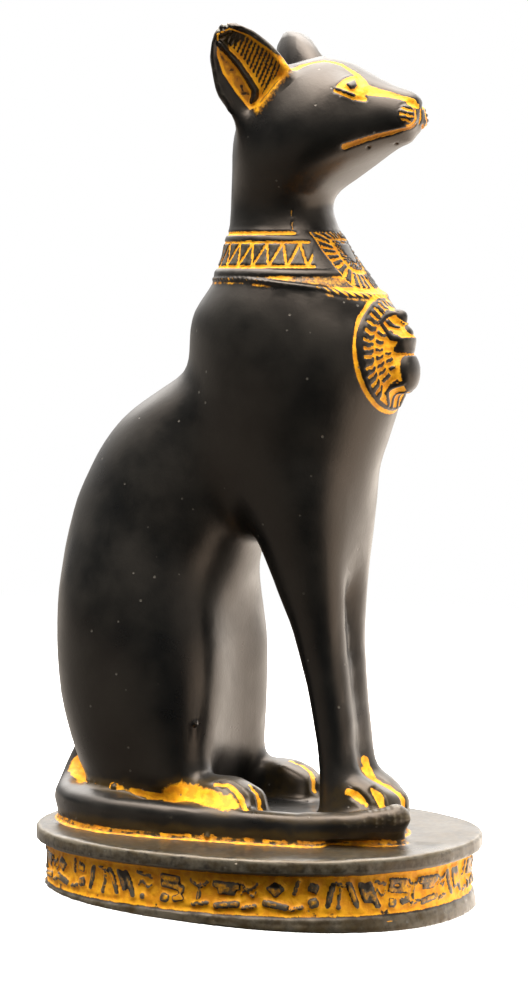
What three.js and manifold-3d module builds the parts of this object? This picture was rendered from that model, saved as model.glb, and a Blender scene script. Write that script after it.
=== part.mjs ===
// A seated Egyptian cat, cast in one piece with its tail, the low step under it and an oval plinth.
// Millimetres, +Z up. The cat looks along +X and the origin is the middle of the plinth's underside.

import * as THREE from 'three';
import { mergeVertices } from 'three/addons/utils/BufferGeometryUtils.js';
import { triTable } from 'three/addons/objects/MarchingCubes.js';
import Module from 'manifold-3d';

// Plinth: an oval slab over an inscribed band that stands in from it, over a low foot
const PLINTH_HEIGHT = 19.2;
const PLINTH_LEAN = 1.8;
const SLAB_THICKNESS = 4.4;
const SLAB_ROUND = 1.1;
const FOOT_HEIGHT = 2.8;
const FOOT_INSET = 1.8;
const BAND_INSET = 3;
const BAND_HOLLOW = 0.8;
const PLINTH_POWER = 2.25;
const PLINTH_STEPS = 56;
const LEDGE_REAR = 8.2;
const LEDGE_FRONT = 20.4;
const LEDGE_SIDE = 22.8;

// Step: the low slab on the plinth that the cat sits on
const STEP_HEIGHT = 6;
const STEP_ROUND = 1.5;
const STEP_REAR_RADIUS = 30;
const STEP_FRONT_RADIUS = 21;
const STEP_REAR_X = -27;
const STEP_FRONT_X = 26.5;

// Figure: its height over the step; every share below is a hundredth of that height
const FIGURE_HEIGHT = 225;
const SINK = 2.5;

// Carving that stands on or in the body
const COLLAR_THICKNESS = 0.9;
const PENDANT_THICKNESS = 1.2;
const PENDANT_MARGIN = 2.2;
const PENDANT_FIELD = 0.7;
const EAR_FACE = 0.6;
const EAR_RIM = 2;
const EAR_CREST = 3.4;
const EAR_ROUND = 1.2;
const EAR_HOLLOW = 3;
const EAR_HOLLOW_HALF = 8.4;
const MOUTH_WIDTH = 1.3;

// Signs in the band: height over the band's surface, depth into it, and distance between them
const SIGN_RISE = 0.9;
const SIGN_SINK = 1.2;
const SIGN_PITCH = 13.2;

// Fineness of the figure's surface
const GRID = 1.2;
const BLOCK = 4;
const FIGURE_FACES = 5900;

const share = (value) => (value * FIGURE_HEIGHT) / 100;
const at = (x, y, z) => new THREE.Vector3(share(x), share(y), share(z));
const clamp = THREE.MathUtils.clamp;

// A smooth line through stations, each a place along the figure and the value there, in shares.
function line(...stations) {
  const places = stations.map(([place]) => share(place));
  const values = stations.map(([, value]) => share(value));
  const curve = new THREE.CubicInterpolant(places, values, 1, new Float64Array(1));
  const start = places[0];
  const span = places[places.length - 1] - start;
  const count = 400;
  const table = Float64Array.from({ length: count + 2 }, (_, i) => {
    return curve.evaluate(start + span * Math.min(1, i / count))[0];
  });
  return (place) => {
    const t = clamp((place - start) / span, 0, 1) * count;
    const i = Math.floor(t);
    return table[i] + (table[i + 1] - table[i]) * (t - i);
  };
}

// Distance to an oval of half axes a and b, negative inside; a power over 2 squares its corners.
function oval(dx, dy, a, b, power = 2) {
  const p = Math.abs(dx) / a;
  const q = Math.abs(dy) / b;
  const round = power === 2;
  const reach = round ? Math.sqrt(p * p + q * q) : (p ** power + q ** power) ** (1 / power);
  if (reach < 1e-4) return -Math.min(a, b);
  const slopeA = (round ? p / reach : (p / reach) ** (power - 1)) / a;
  const slopeB = (round ? q / reach : (q / reach) ** (power - 1)) / b;
  return (reach - 1) / Math.sqrt(slopeA * slopeA + slopeB * slopeB);
}

// An upright form: at each height an oval between its back and front lines. With a middle line
// it is a pair of forms, one on each side.
function upright({ back, front, side, middle, from, to }) {
  const low = share(from);
  const high = share(to);
  return (x, y, z) => {
    const level = clamp(z, low, high);
    const rear = back(level);
    const fore = front(level);
    const across = middle ? Math.abs(y) - middle(level) : y;
    const wall = oval(x - (rear + fore) / 2, across, (fore - rear) / 2, side(level));
    return Math.max(wall, z - high, low - z);
  };
}

// An ellipsoid; with mirrored it stands on both sides.
function ellipsoid(centre, radii, mirrored = false) {
  return (x, y, z) => {
    const dx = (x - centre.x) / radii.x;
    const dy = ((mirrored ? Math.abs(y) : y) - centre.y) / radii.y;
    const dz = (z - centre.z) / radii.z;
    const reach = Math.hypot(dx, dy, dz);
    if (reach < 1e-4) return -Math.min(radii.x, radii.y, radii.z);
    return (reach * (reach - 1)) / Math.hypot(dx / radii.x, dy / radii.y, dz / radii.z);
  };
}

// A rod with round ends whose radius runs from one end to the other.
function rod(start, end, startRadius, endRadius, mirrored = false) {
  const along = end.clone().sub(start);
  const lengthSquared = along.lengthSq();
  return (x, y, z) => {
    const px = x - start.x;
    const py = (mirrored ? Math.abs(y) : y) - start.y;
    const pz = z - start.z;
    const t = clamp((px * along.x + py * along.y + pz * along.z) / lengthSquared, 0, 1);
    const gap = Math.hypot(px - along.x * t, py - along.y * t, pz - along.z * t);
    return gap - startRadius - (endRadius - startRadius) * t;
  };
}

// A form that is worked out only near its own box, and far from it is the distance to the box.
function within(form, low, high, reach = 9) {
  return (x, y, z) => {
    const side = Math.abs(y);
    const gap = Math.hypot(
      Math.max(low.x - x, x - high.x, 0),
      Math.max(low.y - side, side - high.y, 0),
      Math.max(low.z - z, z - high.z, 0),
    );
    return gap > reach ? gap : form(x, y, z);
  };
}

// Joins and cuts whose seams are rounded over the given width.
function join(a, b, width) {
  const h = Math.max(width - Math.abs(a - b), 0) / width;
  return Math.min(a, b) - (h * h * width) / 4;
}
const cut = (a, b, width) => -join(-a, b, width);

// Haunches and back, from the step to the shoulders
const haunches = upright({
  back: line([0, -21.6], [5.3, -23.2], [9.5, -23.6], [14, -24.3], [19, -25.3], [25.9, -26.8], [33.8, -26.6],
    [41.8, -24.1], [49.6, -18.8], [53.6, -13.4], [56.5, -8], [58.5, -3.6]),
  front: line([0, -4], [14, -2.6], [25.9, -2.2], [33.8, 0], [41.8, 3.6], [49.6, 3.8], [53.6, 3], [58.5, 0]),
  side: line([0, 10.6], [5.3, 12], [14, 13], [25.9, 13], [37.8, 11.6], [49.6, 9.2], [53.6, 7.2], [56.5, 4.4],
    [58.5, 1.6]),
  from: -SINK,
  to: 58.4,
});

// Chest, shoulders and neck, tapering to a keel below and a dome in the head
const columnBack = line([30, 8], [34, 3], [38.5, -3], [42.6, -6], [50.3, -8], [57.9, -8.2], [63.6, -7.5],
  [67.3, -5.1], [71.1, -3.3], [76.8, -2.6], [82, -2.2], [86, -0.6], [89.5, 2.6]);
const columnFront = line([30, 13.6], [34, 15.2], [38.5, 16], [42.6, 16.8], [46.4, 18], [50.3, 19.4],
  [57.9, 21], [63.6, 19.4], [69.2, 15.1], [73.1, 12.4], [76.8, 10.9], [82, 10.6], [86, 9.4], [89.5, 6.4]);
const columnSide = line([30, 2], [34, 4.4], [38.5, 7.4], [42.6, 9.4], [46.4, 10.4], [54, 11.3], [61.7, 11.1],
  [65.5, 10.2], [69.2, 8.2], [73.1, 6.7], [76.8, 5.8], [82, 5.7], [86, 4.6], [89.5, 2]);
const column = upright({ back: columnBack, front: columnFront, side: columnSide, from: 30, to: 89.4 });

// Front legs, side by side with a groove between them
const forelegs = upright({
  back: line([0, 11.6], [7.1, 11.1], [14.9, 9.7], [22.7, 7.7], [30.6, 4.8], [38.2, 2.2], [43, 2], [47, 3.4],
    [50, 5.4]),
  front: line([0, 16.4], [7.1, 16.1], [14.9, 15.3], [22.7, 14.6], [30.6, 14.7], [38.2, 15.1], [43, 14.8],
    [47, 12.6], [50, 8.6]),
  middle: line([0, 2.3], [14.9, 2.2], [22.7, 2.5], [30.6, 3.3], [38.2, 4.2], [43, 4.6], [47, 4.4], [50, 4]),
  side: line([0, 2.8], [14.9, 2.8], [22.7, 3.1], [30.6, 3.8], [38.2, 4.5], [43, 4.2], [47, 2.8], [50, 1.2]),
  from: 0.5,
  to: 49.9,
});

// Head: at each place along it an oval that narrows towards its top
const headTop = line([-1.9, 85.4], [-1.5, 87.6], [-0.6, 90.1], [1, 92.3], [3.6, 94.4], [9.6, 96.2],
  [13.2, 95.7], [16, 94.3], [18.2, 93.2], [20.6, 92.2], [22.9, 91], [23.7, 89.3]);
const headBottom = line([-1.9, 85], [-1.5, 82.6], [0, 79.6], [4.4, 77.2], [8.9, 78.1], [12, 79.7],
  [18.1, 83.3], [20.8, 84.8], [22.4, 85.8], [23.7, 87.8]);
const headSide = line([-1.9, 0.3], [-1.5, 2.4], [0, 5], [2, 6.6], [4.6, 7.6], [9.8, 8.2], [13.2, 7.7],
  [16.4, 6.3], [18.7, 4.8], [20.9, 3.6], [23.7, 1.6]);
const HEAD_REAR = share(-1.85);
const HEAD_FRONT = share(23.6);
const HEAD_TAPER = 0.22;
const HEAD_POWER = 2.15;
function head(x, y, z) {
  const station = clamp(x, HEAD_REAR, HEAD_FRONT);
  const top = headTop(station);
  const bottom = headBottom(station);
  const rise = z - (top + bottom) / 2;
  const half = (top - bottom) / 2;
  const width = headSide(station) * (1 - HEAD_TAPER * clamp(rise / half, -1, 1));
  return Math.max(oval(rise, y, half, width, HEAD_POWER), x - HEAD_FRONT, HEAD_REAR - x);
}

// Thighs, hind feet and the shoulders' muscle
const thigh = ellipsoid(at(-13.6, 6.2, 19), at(11.4, 7.4, 18.5), true);
const hindFoot = ellipsoid(at(-0.6, 8.4, 1.7), at(6.1, 3.1, 3.3), true);
const hindShin = rod(at(-8.2, 6.6, 22), at(-6.9, 7.4, 5), share(3.8), share(3.9), true);
const forePaw = ellipsoid(at(16.6, 2.6, 1.6), at(4.2, 2.7, 3.6), true);

// Toes: four to a paw, spread in a fan, each a knuckle that leans down to its tip over a solid pad,
// with a web from toe to toe behind the tips
function toes({ tips, lift, root, radius, height }) {
  const thick = share(radius);
  const flat = share(radius * 1.1);
  const deep = share(height / 2 + 0.3);
  const all = tips.flatMap(([x, y]) => [
    rod(at(x - root, y, lift), at(x - radius, y, height), thick, thick, true),
    rod(at(x - radius, y, height), at(x - radius, y, 0.2), thick, flat, true),
    rod(at(x - root, y, height / 2), at(x - radius, y, 0.3), deep, flat, true),
  ]);
  for (let n = 1; n < tips.length; n++) {
    const [from, to] = [tips[n - 1], tips[n]].map(([x, y]) => at(x - radius * 2, y, height / 2));
    all.push(rod(from, to, deep, deep, true));
  }
  return (x, y, z) => Math.min(...all.map((toe) => toe(x, y, z)));
}
const hindToes = toes({
  tips: [[4.1, 10.8], [5.5, 9.2], [5.9, 7.6], [5.4, 6.1]],
  lift: 3.7, root: 4.6, radius: 0.94, height: 2.2,
});
const foreToes = toes({
  tips: [[19, 4.6], [20.8, 3.3], [21.6, 2], [21.8, 0.68]],
  lift: 4, root: 4.2, radius: 0.78, height: 2.1,
});
const toeRoom = [at(-3, -1, -1), at(23, 12, 6)];
const allToes = within((x, y, z) => Math.min(hindToes(x, y, z), foreToes(x, y, z)), ...toeRoom);

// Tail: out of the rump, round the right side and along the step's edge to beside the front paws
const TAIL_ROUTE = [[-22.4, 0.4, 9.6], [-24.6, -0.6, 5], [-25.3, -3, 1.2], [-23.4, -7.4, 0.2],
  [-19.4, -10.9, 0.1], [-13.6, -13.1, 0.1], [-6.2, -13.3, 0], [0.9, -12.4, -0.1], [8, -11.3, -0.2],
  [14.2, -10, -0.2], [19.6, -7.7, 0.2], [23.5, -5, 0.9]];
const TAIL_ROOT = 2.5;
const TAIL_END = 1.75;
const TAIL_PIECES = 36;
const tailCurve = new THREE.CatmullRomCurve3(TAIL_ROUTE.map((p) => at(...p)), false, 'centripetal');
const tailPoints = tailCurve.getSpacedPoints(TAIL_PIECES);
const tailRadius = (i) => share(TAIL_END + (TAIL_ROOT - TAIL_END) * (1 - i / TAIL_PIECES) ** 2);
const tailRods = tailPoints.slice(1).map((end, i) => {
  return rod(tailPoints[i], end, tailRadius(i), tailRadius(i + 1));
});
const tail = within((x, y, z) => Math.min(...tailRods.map((piece) => piece(x, y, z))),
  at(-28, 0, -2), at(25, 16, 12));

// Web between the tail's root and the rump
const webRod = rod(at(-22, 0, 8), at(-22.6, -1.4, 0), share(1.9), share(2.4));
const tailWeb = within(webRod, at(-26, 0, -2), at(-19, 4, 10));

// Wall under the tail, down to the plinth
const tailFoot = TAIL_PIECES - 5;
const tailWallRods = tailPoints.slice(1, tailFoot).map((end, i) => {
  const start = tailPoints[i].clone().setZ(0);
  return rod(start, end.clone().setZ(0), share(1.6), share(1.5));
});
const tailWall = within((x, y, z) => {
  const plan = Math.min(...tailWallRods.map((piece) => piece(x, y, 0)));
  return Math.max(plan, z, -z - STEP_HEIGHT - SINK);
}, at(-28, 0, -4), at(25, 16, 2));

// Step: in plan two circles and what lies between them
function step(x, y, z) {
  const run = STEP_FRONT_X - STEP_REAR_X;
  const slope = (STEP_REAR_RADIUS - STEP_FRONT_RADIUS) / run;
  const lean = Math.sqrt(1 - slope * slope);
  const px = x - STEP_REAR_X;
  const py = Math.abs(y);
  const k = px * lean - py * slope;
  let plan = px * slope + py * lean - STEP_REAR_RADIUS;
  if (k < 0) plan = Math.hypot(px, py) - STEP_REAR_RADIUS;
  if (k > run * lean) plan = Math.hypot(px - run, py) - STEP_FRONT_RADIUS;
  const inset = Math.max(plan + STEP_ROUND, 0);
  const rise = Math.max(z + STEP_ROUND, 0);
  const edge = Math.hypot(inset, rise) - STEP_ROUND;
  return Math.max(Math.min(Math.max(plan, z), 0) + Math.max(edge, 0), -z - STEP_HEIGHT - SINK);
}

// Ledge that closes the step between the right front paw and the tail's tip
const ledgeRod = rod(at(16, -6, -2), at(21.6, -4.2, -2), share(2.3), share(2.3));
const tipLedge = within(ledgeRod, at(13, 1, -5), at(24, 9, 1));

// Muzzle: nose, whisker pads and chin
const nose = ellipsoid(at(22.6, 0, 89.9), at(1.4, 1.6, 1.3));
const pads = ellipsoid(at(21.9, 1.45, 87.8), at(2, 1.65, 1.75), true);
const chin = ellipsoid(at(20.8, 0, 85.9), at(2.1, 1.8, 1.15));

// Ears: a leaf shape that leans out and back, flat in front, with a hollow set in from its edge
const EAR_FOOT = at(4.4, 6.7, 91.6);
const EAR_TIP = at(0.5, 9.3, 100.1);
const EAR_FRONT = at(7.9, 5.8, 95.6);
const EAR_WIDTH = share(4.9);
const EAR_DEPTH = share(3);
const earLength = EAR_TIP.distanceTo(EAR_FOOT);
const earUp = EAR_TIP.clone().sub(EAR_FOOT).normalize();
const earForward = EAR_FRONT.clone().sub(EAR_FOOT).projectOnPlane(earUp).normalize();
const earOut = earUp.clone().cross(earForward).normalize();

// Half width of an ear at a share of its length
const earHalf = (t) => EAR_WIDTH * (1 - clamp(t, 0, 1) ** 2) ** 0.6;

function earPlace(x, y, z) {
  const spot = new THREE.Vector3(x, Math.abs(y), z).sub(EAR_FOOT);
  return [spot.dot(earUp), spot.dot(earForward), spot.dot(earOut)];
}
function earShell(x, y, z) {
  const [up, across, out] = earPlace(x, y, z);
  const t = up / earLength;
  const half = Math.max(earHalf(t), 0.05);
  const depth = EAR_DEPTH * (0.35 + 0.65 * (half / EAR_WIDTH));
  const back = oval(across, out, half, depth, 2.5);
  return Math.max(cut(back, EAR_FACE - out, EAR_ROUND), up - earLength, -up - share(5));
}
function earHollow(x, y, z) {
  const [up, across, out] = earPlace(x, y, z);
  const half = Math.max(Math.min(EAR_HOLLOW_HALF, earHalf(up / earLength) - EAR_RIM), 0.05);
  const floor = EAR_HOLLOW * (0.35 + 0.65 * (half / EAR_HOLLOW_HALF));
  const bowl = oval(across, Math.min(out, 0), half, floor);
  return Math.max(bowl, across * 0.4 - share(1.1) - up, up - earLength + EAR_CREST);
}
const earRoom = [at(-3, 1, 85), at(12, 13, 102)];
const ears = within(earShell, ...earRoom);
const earHollows = within(earHollow, ...earRoom);

// Collar: a raised band round the neck that falls to a bib in front
function collar(x, y, z, body) {
  const top = share(74);
  const edge = share(68.4) - Math.max(0, x + share(3)) * 0.1 - Math.max(0, x - share(11)) * 0.3;
  return Math.max(body - COLLAR_THICKNESS, z - top, edge - z);
}

// Pendant: a round plate on the chest with a raised margin
const PENDANT_Z = share(58.6);
const PENDANT_HALF_WIDTH = share(6.6);
const PENDANT_HALF_HEIGHT = share(7.1);
function pendant(x, y, z, body) {
  if (x < 0) return share(20);
  const plan = oval(z - PENDANT_Z, y, PENDANT_HALF_HEIGHT, PENDANT_HALF_WIDTH, 2);
  const field = THREE.MathUtils.smoothstep(-plan, PENDANT_MARGIN, PENDANT_MARGIN + 0.8);
  return Math.max(body - PENDANT_THICKNESS + PENDANT_FIELD * field, plan);
}

// Place on the chest's front at a height and a distance from the middle, both in shares.
function onChest(y, z, proud = 0) {
  const level = share(z);
  const half = (columnFront(level) - columnBack(level)) / 2;
  const middle = (columnFront(level) + columnBack(level)) / 2;
  const bow = Math.sqrt(Math.max(1 - (share(y) / columnSide(level)) ** 2, 0));
  return new THREE.Vector3(middle + half * bow + PENDANT_THICKNESS + share(proud), share(y), level);
}

// Beetle on the pendant: head, chest, wing cases and legs
const beetleParts = [
  ellipsoid(onChest(0, 63.3, 0.5), at(1.5, 1.5, 1.3)),
  ellipsoid(onChest(0, 60.5, 0.3), at(1.6, 2.3, 2)),
  ellipsoid(onChest(0, 56.5, 0.3), at(1.7, 2.4, 3)),
  rod(onChest(1.2, 64.6, -0.1), onChest(2.5, 62.8, -0.4), share(0.5), share(0.55), true),
  rod(onChest(2.5, 62.8, -0.4), onChest(1.9, 60.8, -0.1), share(0.55), share(0.5), true),
  rod(onChest(1.9, 55.4, -0.1), onChest(2.3, 53.4, -0.4), share(0.5), share(0.5), true),
  rod(onChest(2.3, 53.4, -0.4), onChest(0.9, 52.2, -0.2), share(0.5), share(0.5), true),
];
const beetle = within((x, y, z) => Math.min(...beetleParts.map((piece) => piece(x, y, z))),
  at(14, -1, 50), at(24, 4, 67));

// Mouth: a groove along each side of the muzzle
const mouthPoints = [at(15.6, 6.9, 83.6), at(18.6, 5.3, 85), at(21.2, 3.3, 86.1), at(23.2, 1.2, 86.7)];
const mouthRods = mouthPoints.slice(1).map((end, i) => {
  return rod(mouthPoints[i], end, MOUTH_WIDTH / 2, MOUTH_WIDTH / 2, true);
});
const mouth = within((x, y, z) => Math.min(...mouthRods.map((piece) => piece(x, y, z))),
  at(14, 0, 82), at(25, 8, 88));

// Eyes: an almond rim round a raised ball, under a brow
const eyeSocket = within(ellipsoid(at(16.4, 5.9, 92), at(1.9, 1.2, 1), true), at(13, 3, 89), at(20, 8, 95));
const eyeBall = within(ellipsoid(at(16.3, 4.6, 92), at(1.3, 1.3, 0.9), true), at(13, 3, 89), at(20, 8, 95));

// Parts of the figure that lie near its foot, and parts in its head, are worked out only there
const seat = within((x, y, z) => {
  const paws = join(hindFoot(x, y, z), forePaw(x, y, z), share(0.6));
  let body = join(haunches(x, y, z), thigh(x, y, z), share(3));
  body = join(body, hindShin(x, y, z), share(3));
  return join(body, paws, share(1.6));
}, at(-28, 0, -3), at(21, 14, 59));
const legs = within(forelegs, at(1, 0, 0), at(17, 9, 50));
const upper = within(column, at(-9, 0, 30), at(22, 12, 90));
const ground = within((x, y, z) => {
  const stand = Math.min(step(x, y, z), tipLedge(x, y, z));
  const low = join(allToes(x, y, z), stand, share(0.5));
  const drawn = join(tail(x, y, z), tailWeb(x, y, z), share(0.8));
  return join(join(low, drawn, share(0.9)), tailWall(x, y, z), share(0.4));
}, at(-30, 0, -4), at(25, 16, 13));
const face = within((x, y, z) => {
  const muzzle = join(join(nose(x, y, z), pads(x, y, z), share(0.4)), chin(x, y, z), share(0.4));
  return join(head(x, y, z), muzzle, share(0.9));
}, at(-2, 0, 77), at(25, 10, 97));

// The whole figure: distance to its surface, negative inside
function figure(x, y, z) {
  const torso = upper(x, y, z);
  let body = join(seat(x, y, z), torso, share(3.4));
  body = join(body, legs(x, y, z), share(2.4));
  body = Math.min(body, collar(x, y, z, torso), pendant(x, y, z, torso));
  body = join(body, beetle(x, y, z), share(0.3));
  body = join(body, face(x, y, z), share(1.7));
  body = join(body, ears(x, y, z), share(1.1));
  body = cut(body, earHollows(x, y, z), EAR_ROUND);
  body = cut(body, mouth(x, y, z), share(0.2));
  body = cut(body, eyeSocket(x, y, z), share(0.3));
  body = join(body, eyeBall(x, y, z), share(0.2));
  return join(body, ground(x, y, z), share(0.5));
}

// Corners of a grid cell, and the pair of corners that each of its twelve edges joins
const CORNERS = [[0, 0, 0], [1, 0, 0], [1, 1, 0], [0, 1, 0], [0, 0, 1], [1, 0, 1], [1, 1, 1], [0, 1, 1]];
const EDGES = [[0, 1], [1, 2], [3, 2], [0, 3], [4, 5], [5, 6], [7, 6], [4, 7],
  [0, 4], [1, 5], [2, 6], [3, 7]];

// Values of a form at every point of a grid over a box. A block whose corners all lie far from the
// surface, on one side of it, gets one value throughout.
function sample(form, box) {
  const counts = box.getSize(new THREE.Vector3()).divideScalar(GRID * BLOCK).ceil().multiplyScalar(BLOCK);
  const size = counts.toArray();
  const strides = [1, size[0] + 1, (size[0] + 1) * (size[1] + 1)];
  const values = new Float32Array(strides[2] * (size[2] + 1)).fill(NaN);
  const value = (i, j, k) => {
    const index = i + j * strides[1] + k * strides[2];
    if (Number.isNaN(values[index])) {
      values[index] = form(box.min.x + i * GRID, box.min.y + j * GRID, box.min.z + k * GRID);
    }
    return values[index];
  };
  const near = GRID * BLOCK * 1.3;
  const blocks = [];
  for (let k = 0; k < size[2]; k += BLOCK) {
    for (let j = 0; j < size[1]; j += BLOCK) {
      for (let i = 0; i < size[0]; i += BLOCK) {
        const corners = CORNERS.map(([a, b, c]) => value(i + a * BLOCK, j + b * BLOCK, k + c * BLOCK));
        const far = corners.every((v) => Math.abs(v) > near && v * corners[0] > 0);
        blocks.push({ i, j, k, far, inside: corners[0] });
      }
    }
  }
  blocks.sort((a, b) => a.far - b.far);
  for (const { i, j, k, far, inside } of blocks) {
    for (let c = k; c <= k + BLOCK; c++) {
      for (let b = j; b <= j + BLOCK; b++) {
        for (let a = i; a <= i + BLOCK; a++) {
          const index = a + b * strides[1] + c * strides[2];
          if (!far) value(a, b, c);
          else if (Number.isNaN(values[index])) values[index] = inside;
        }
      }
    }
  }
  return { values, size, strides };
}

// Two neighbouring cells can share an edge that each of them also has inside. Each such edge gets
// a middle point of its own in each cell, so that no edge has more than two triangles.
function partEdges({ points, faces, cells }) {
  const users = new Map();
  const name = (p, q) => Math.min(p, q) * points.length + Math.max(p, q);
  faces.forEach((face, index) => face.forEach((p, n) => {
    const key = name(p, face[(n + 1) % 3]);
    users.set(key, [...(users.get(key) ?? []), index]);
  }));
  const crowded = [...users.values()].filter((list) => list.length > 2);
  const split = new Set(crowded.flat());
  if (split.size === 0) return { points, faces };
  const middles = new Map();
  const kept = faces.filter((_, index) => !split.has(index));
  for (const index of split) {
    const ring = faces[index].flatMap((p, n) => {
      const q = faces[index][(n + 1) % 3];
      if (users.get(name(p, q)).length <= 2) return [p];
      const key = `${name(p, q)} ${cells[index]}`;
      if (!middles.has(key)) {
        middles.set(key, points.push(points[p].map((value, c) => (value + points[q][c]) / 2)) - 1);
      }
      return [p, middles.get(key)];
    });
    const mean = [0, 1, 2].map((c) => ring.reduce((sum, p) => sum + points[p][c], 0) / ring.length);
    const centre = points.push(mean) - 1;
    ring.forEach((p, n) => kept.push([p, ring[(n + 1) % ring.length], centre]));
  }
  return { points, faces: kept };
}

// Closed surface where a form is zero, as points and triangles with shared points.
function surface(form, box) {
  const { values, size, strides } = sample(form, box);
  const points = [];
  const faces = [];
  const cells = [];
  const known = new Map();
  const offsets = CORNERS.map(([a, b, c]) => a + b * strides[1] + c * strides[2]);
  const axes = EDGES.map(([from, to]) => strides.indexOf(offsets[to] - offsets[from]));
  const cell = [0, 0, 0];
  const pointOn = (edge, base) => {
    const [from, to] = EDGES[edge];
    const key = (base + offsets[from]) * 3 + axes[edge];
    if (!known.has(key)) {
      const start = values[base + offsets[from]];
      const t = clamp(start / (start - values[base + offsets[to]]), 0.04, 0.96);
      const spot = CORNERS[from].map((c, n) => box.min.getComponent(n) + GRID * (cell[n] + c));
      spot[axes[edge]] += t * GRID;
      known.set(key, points.push(spot) - 1);
    }
    return known.get(key);
  };
  for (cell[2] = 0; cell[2] < size[2]; cell[2]++) {
    for (cell[1] = 0; cell[1] < size[1]; cell[1]++) {
      for (cell[0] = 0; cell[0] < size[0]; cell[0]++) {
        const base = cell[0] + cell[1] * strides[1] + cell[2] * strides[2];
        let kind = 0;
        for (let n = 0; n < 8; n++) if (values[base + offsets[n]] < 0) kind |= 1 << n;
        if (kind === 0 || kind === 255) continue;
        for (let n = kind * 16; triTable[n] !== -1; n += 3) {
          faces.push([triTable[n], triTable[n + 1], triTable[n + 2]].map((edge) => pointOn(edge, base)));
          cells.push(base);
        }
      }
    }
  }
  return partEdges({ points, faces, cells });
}

// Thins a closed surface to a number of triangles by closing the edges whose loss shows least.
// Each point carries the planes of its triangles, and an edge costs its squared distance from them.
function thin({ points, faces }, target) {
  const planes = points.map(() => new Float64Array(10));
  const around = points.map(() => new Set());
  const stamp = new Int32Array(points.length);
  const alive = faces.map(() => true);
  let count = faces.length;
  const normalOf = (p, q, r) => {
    const ux = q[0] - p[0];
    const uy = q[1] - p[1];
    const uz = q[2] - p[2];
    const vx = r[0] - p[0];
    const vy = r[1] - p[1];
    const vz = r[2] - p[2];
    return [uy * vz - uz * vy, uz * vx - ux * vz, ux * vy - uy * vx];
  };
  faces.forEach((face, index) => {
    const corners = face.map((i) => points[i]);
    const normal = normalOf(...corners);
    const area = Math.hypot(...normal) || 1e-12;
    const [a, b, c] = normal.map((n) => n / area);
    const d = -(a * corners[0][0] + b * corners[0][1] + c * corners[0][2]);
    const plane = [a * a, a * b, a * c, a * d, b * b, b * c, b * d, c * c, c * d, d * d];
    for (const i of face) {
      around[i].add(index);
      for (let n = 0; n < 10; n++) planes[i][n] += plane[n] * area;
    }
  });

  const loss = (q, [x, y, z]) => q[0] * x * x + q[4] * y * y + q[7] * z * z + q[9]
    + 2 * (q[1] * x * y + q[2] * x * z + q[5] * y * z + q[3] * x + q[6] * y + q[8] * z);
  const matrix = new THREE.Matrix3();
  const target3 = new THREE.Vector3();
  const meeting = (i, j) => {
    const q = planes[i].map((value, n) => value + planes[j][n]);
    const middle = points[i].map((value, n) => (value + points[j][n]) / 2);
    const length = Math.hypot(...points[i].map((value, n) => value - points[j][n]));
    matrix.set(q[0], q[1], q[2], q[1], q[4], q[5], q[2], q[5], q[7]);
    let spot = middle;
    const scale = q[0] + q[4] + q[7];
    if (Math.abs(matrix.determinant()) > 1e-5 * scale ** 3) {
      target3.set(-q[3], -q[6], -q[8]).applyMatrix3(matrix.invert());
      const best = target3.toArray();
      if (Math.hypot(...best.map((value, n) => value - middle[n])) < length) spot = best;
    }
    const cost = Math.max(loss(q, spot), 0) + 2e-4 * length ** 4;
    return { i, j, spot, cost, stamps: [stamp[i], stamp[j]] };
  };

  const heap = [];
  const push = (entry) => {
    let n = heap.push(entry) - 1;
    while (n > 0 && heap[(n - 1) >> 1].cost > entry.cost) {
      heap[n] = heap[(n - 1) >> 1];
      n = (n - 1) >> 1;
    }
    heap[n] = entry;
  };
  const pop = () => {
    const first = heap[0];
    const last = heap.pop();
    if (heap.length === 0) return first;
    let n = 0;
    for (let child = 1; child < heap.length; child = 2 * n + 1) {
      if (child + 1 < heap.length && heap[child + 1].cost < heap[child].cost) child++;
      if (heap[child].cost >= last.cost) break;
      heap[n] = heap[child];
      n = child;
    }
    heap[n] = last;
    return first;
  };
  const neighbours = (i) => {
    const found = new Set();
    for (const index of around[i]) for (const other of faces[index]) if (other !== i) found.add(other);
    return found;
  };
  const keepsFacing = (i, j, spot) => {
    for (const index of around[i]) {
      const face = faces[index];
      if (face.includes(j)) continue;
      const before = normalOf(...face.map((n) => points[n]));
      const after = normalOf(...face.map((n) => (n === i ? spot : points[n])));
      const sizes = Math.hypot(...before) * Math.hypot(...after);
      if (before[0] * after[0] + before[1] * after[1] + before[2] * after[2] < 0.35 * sizes) return false;
      if (Math.hypot(...after) < 0.02) return false;
    }
    return true;
  };
  points.forEach((_, i) => {
    for (const j of neighbours(i)) if (i < j) push(meeting(i, j));
  });
  while (count > target && heap.length > 0) {
    const { i, j, spot, stamps } = pop();
    if (stamp[i] !== stamps[0] || stamp[j] !== stamps[1]) continue;
    const others = neighbours(j);
    const shared = [...neighbours(i)].filter((n) => others.has(n));
    if (shared.length !== 2 || shared.some((n) => around[n].size < 4)) continue;
    if (!keepsFacing(i, j, spot) || !keepsFacing(j, i, spot)) continue;
    points[i] = spot;
    for (let n = 0; n < 10; n++) planes[i][n] += planes[j][n];
    for (const index of around[j]) {
      if (faces[index].includes(i)) {
        alive[index] = false;
        count--;
        for (const n of faces[index]) if (n !== j) around[n].delete(index);
      } else {
        faces[index] = faces[index].map((n) => (n === j ? i : n));
        around[i].add(index);
      }
    }
    around[j].clear();
    stamp[j] = -1;
    stamp[i]++;
    for (const n of neighbours(i)) push(meeting(i, n));
  }
  return { points, faces: faces.filter((_, index) => alive[index]) };
}

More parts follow.
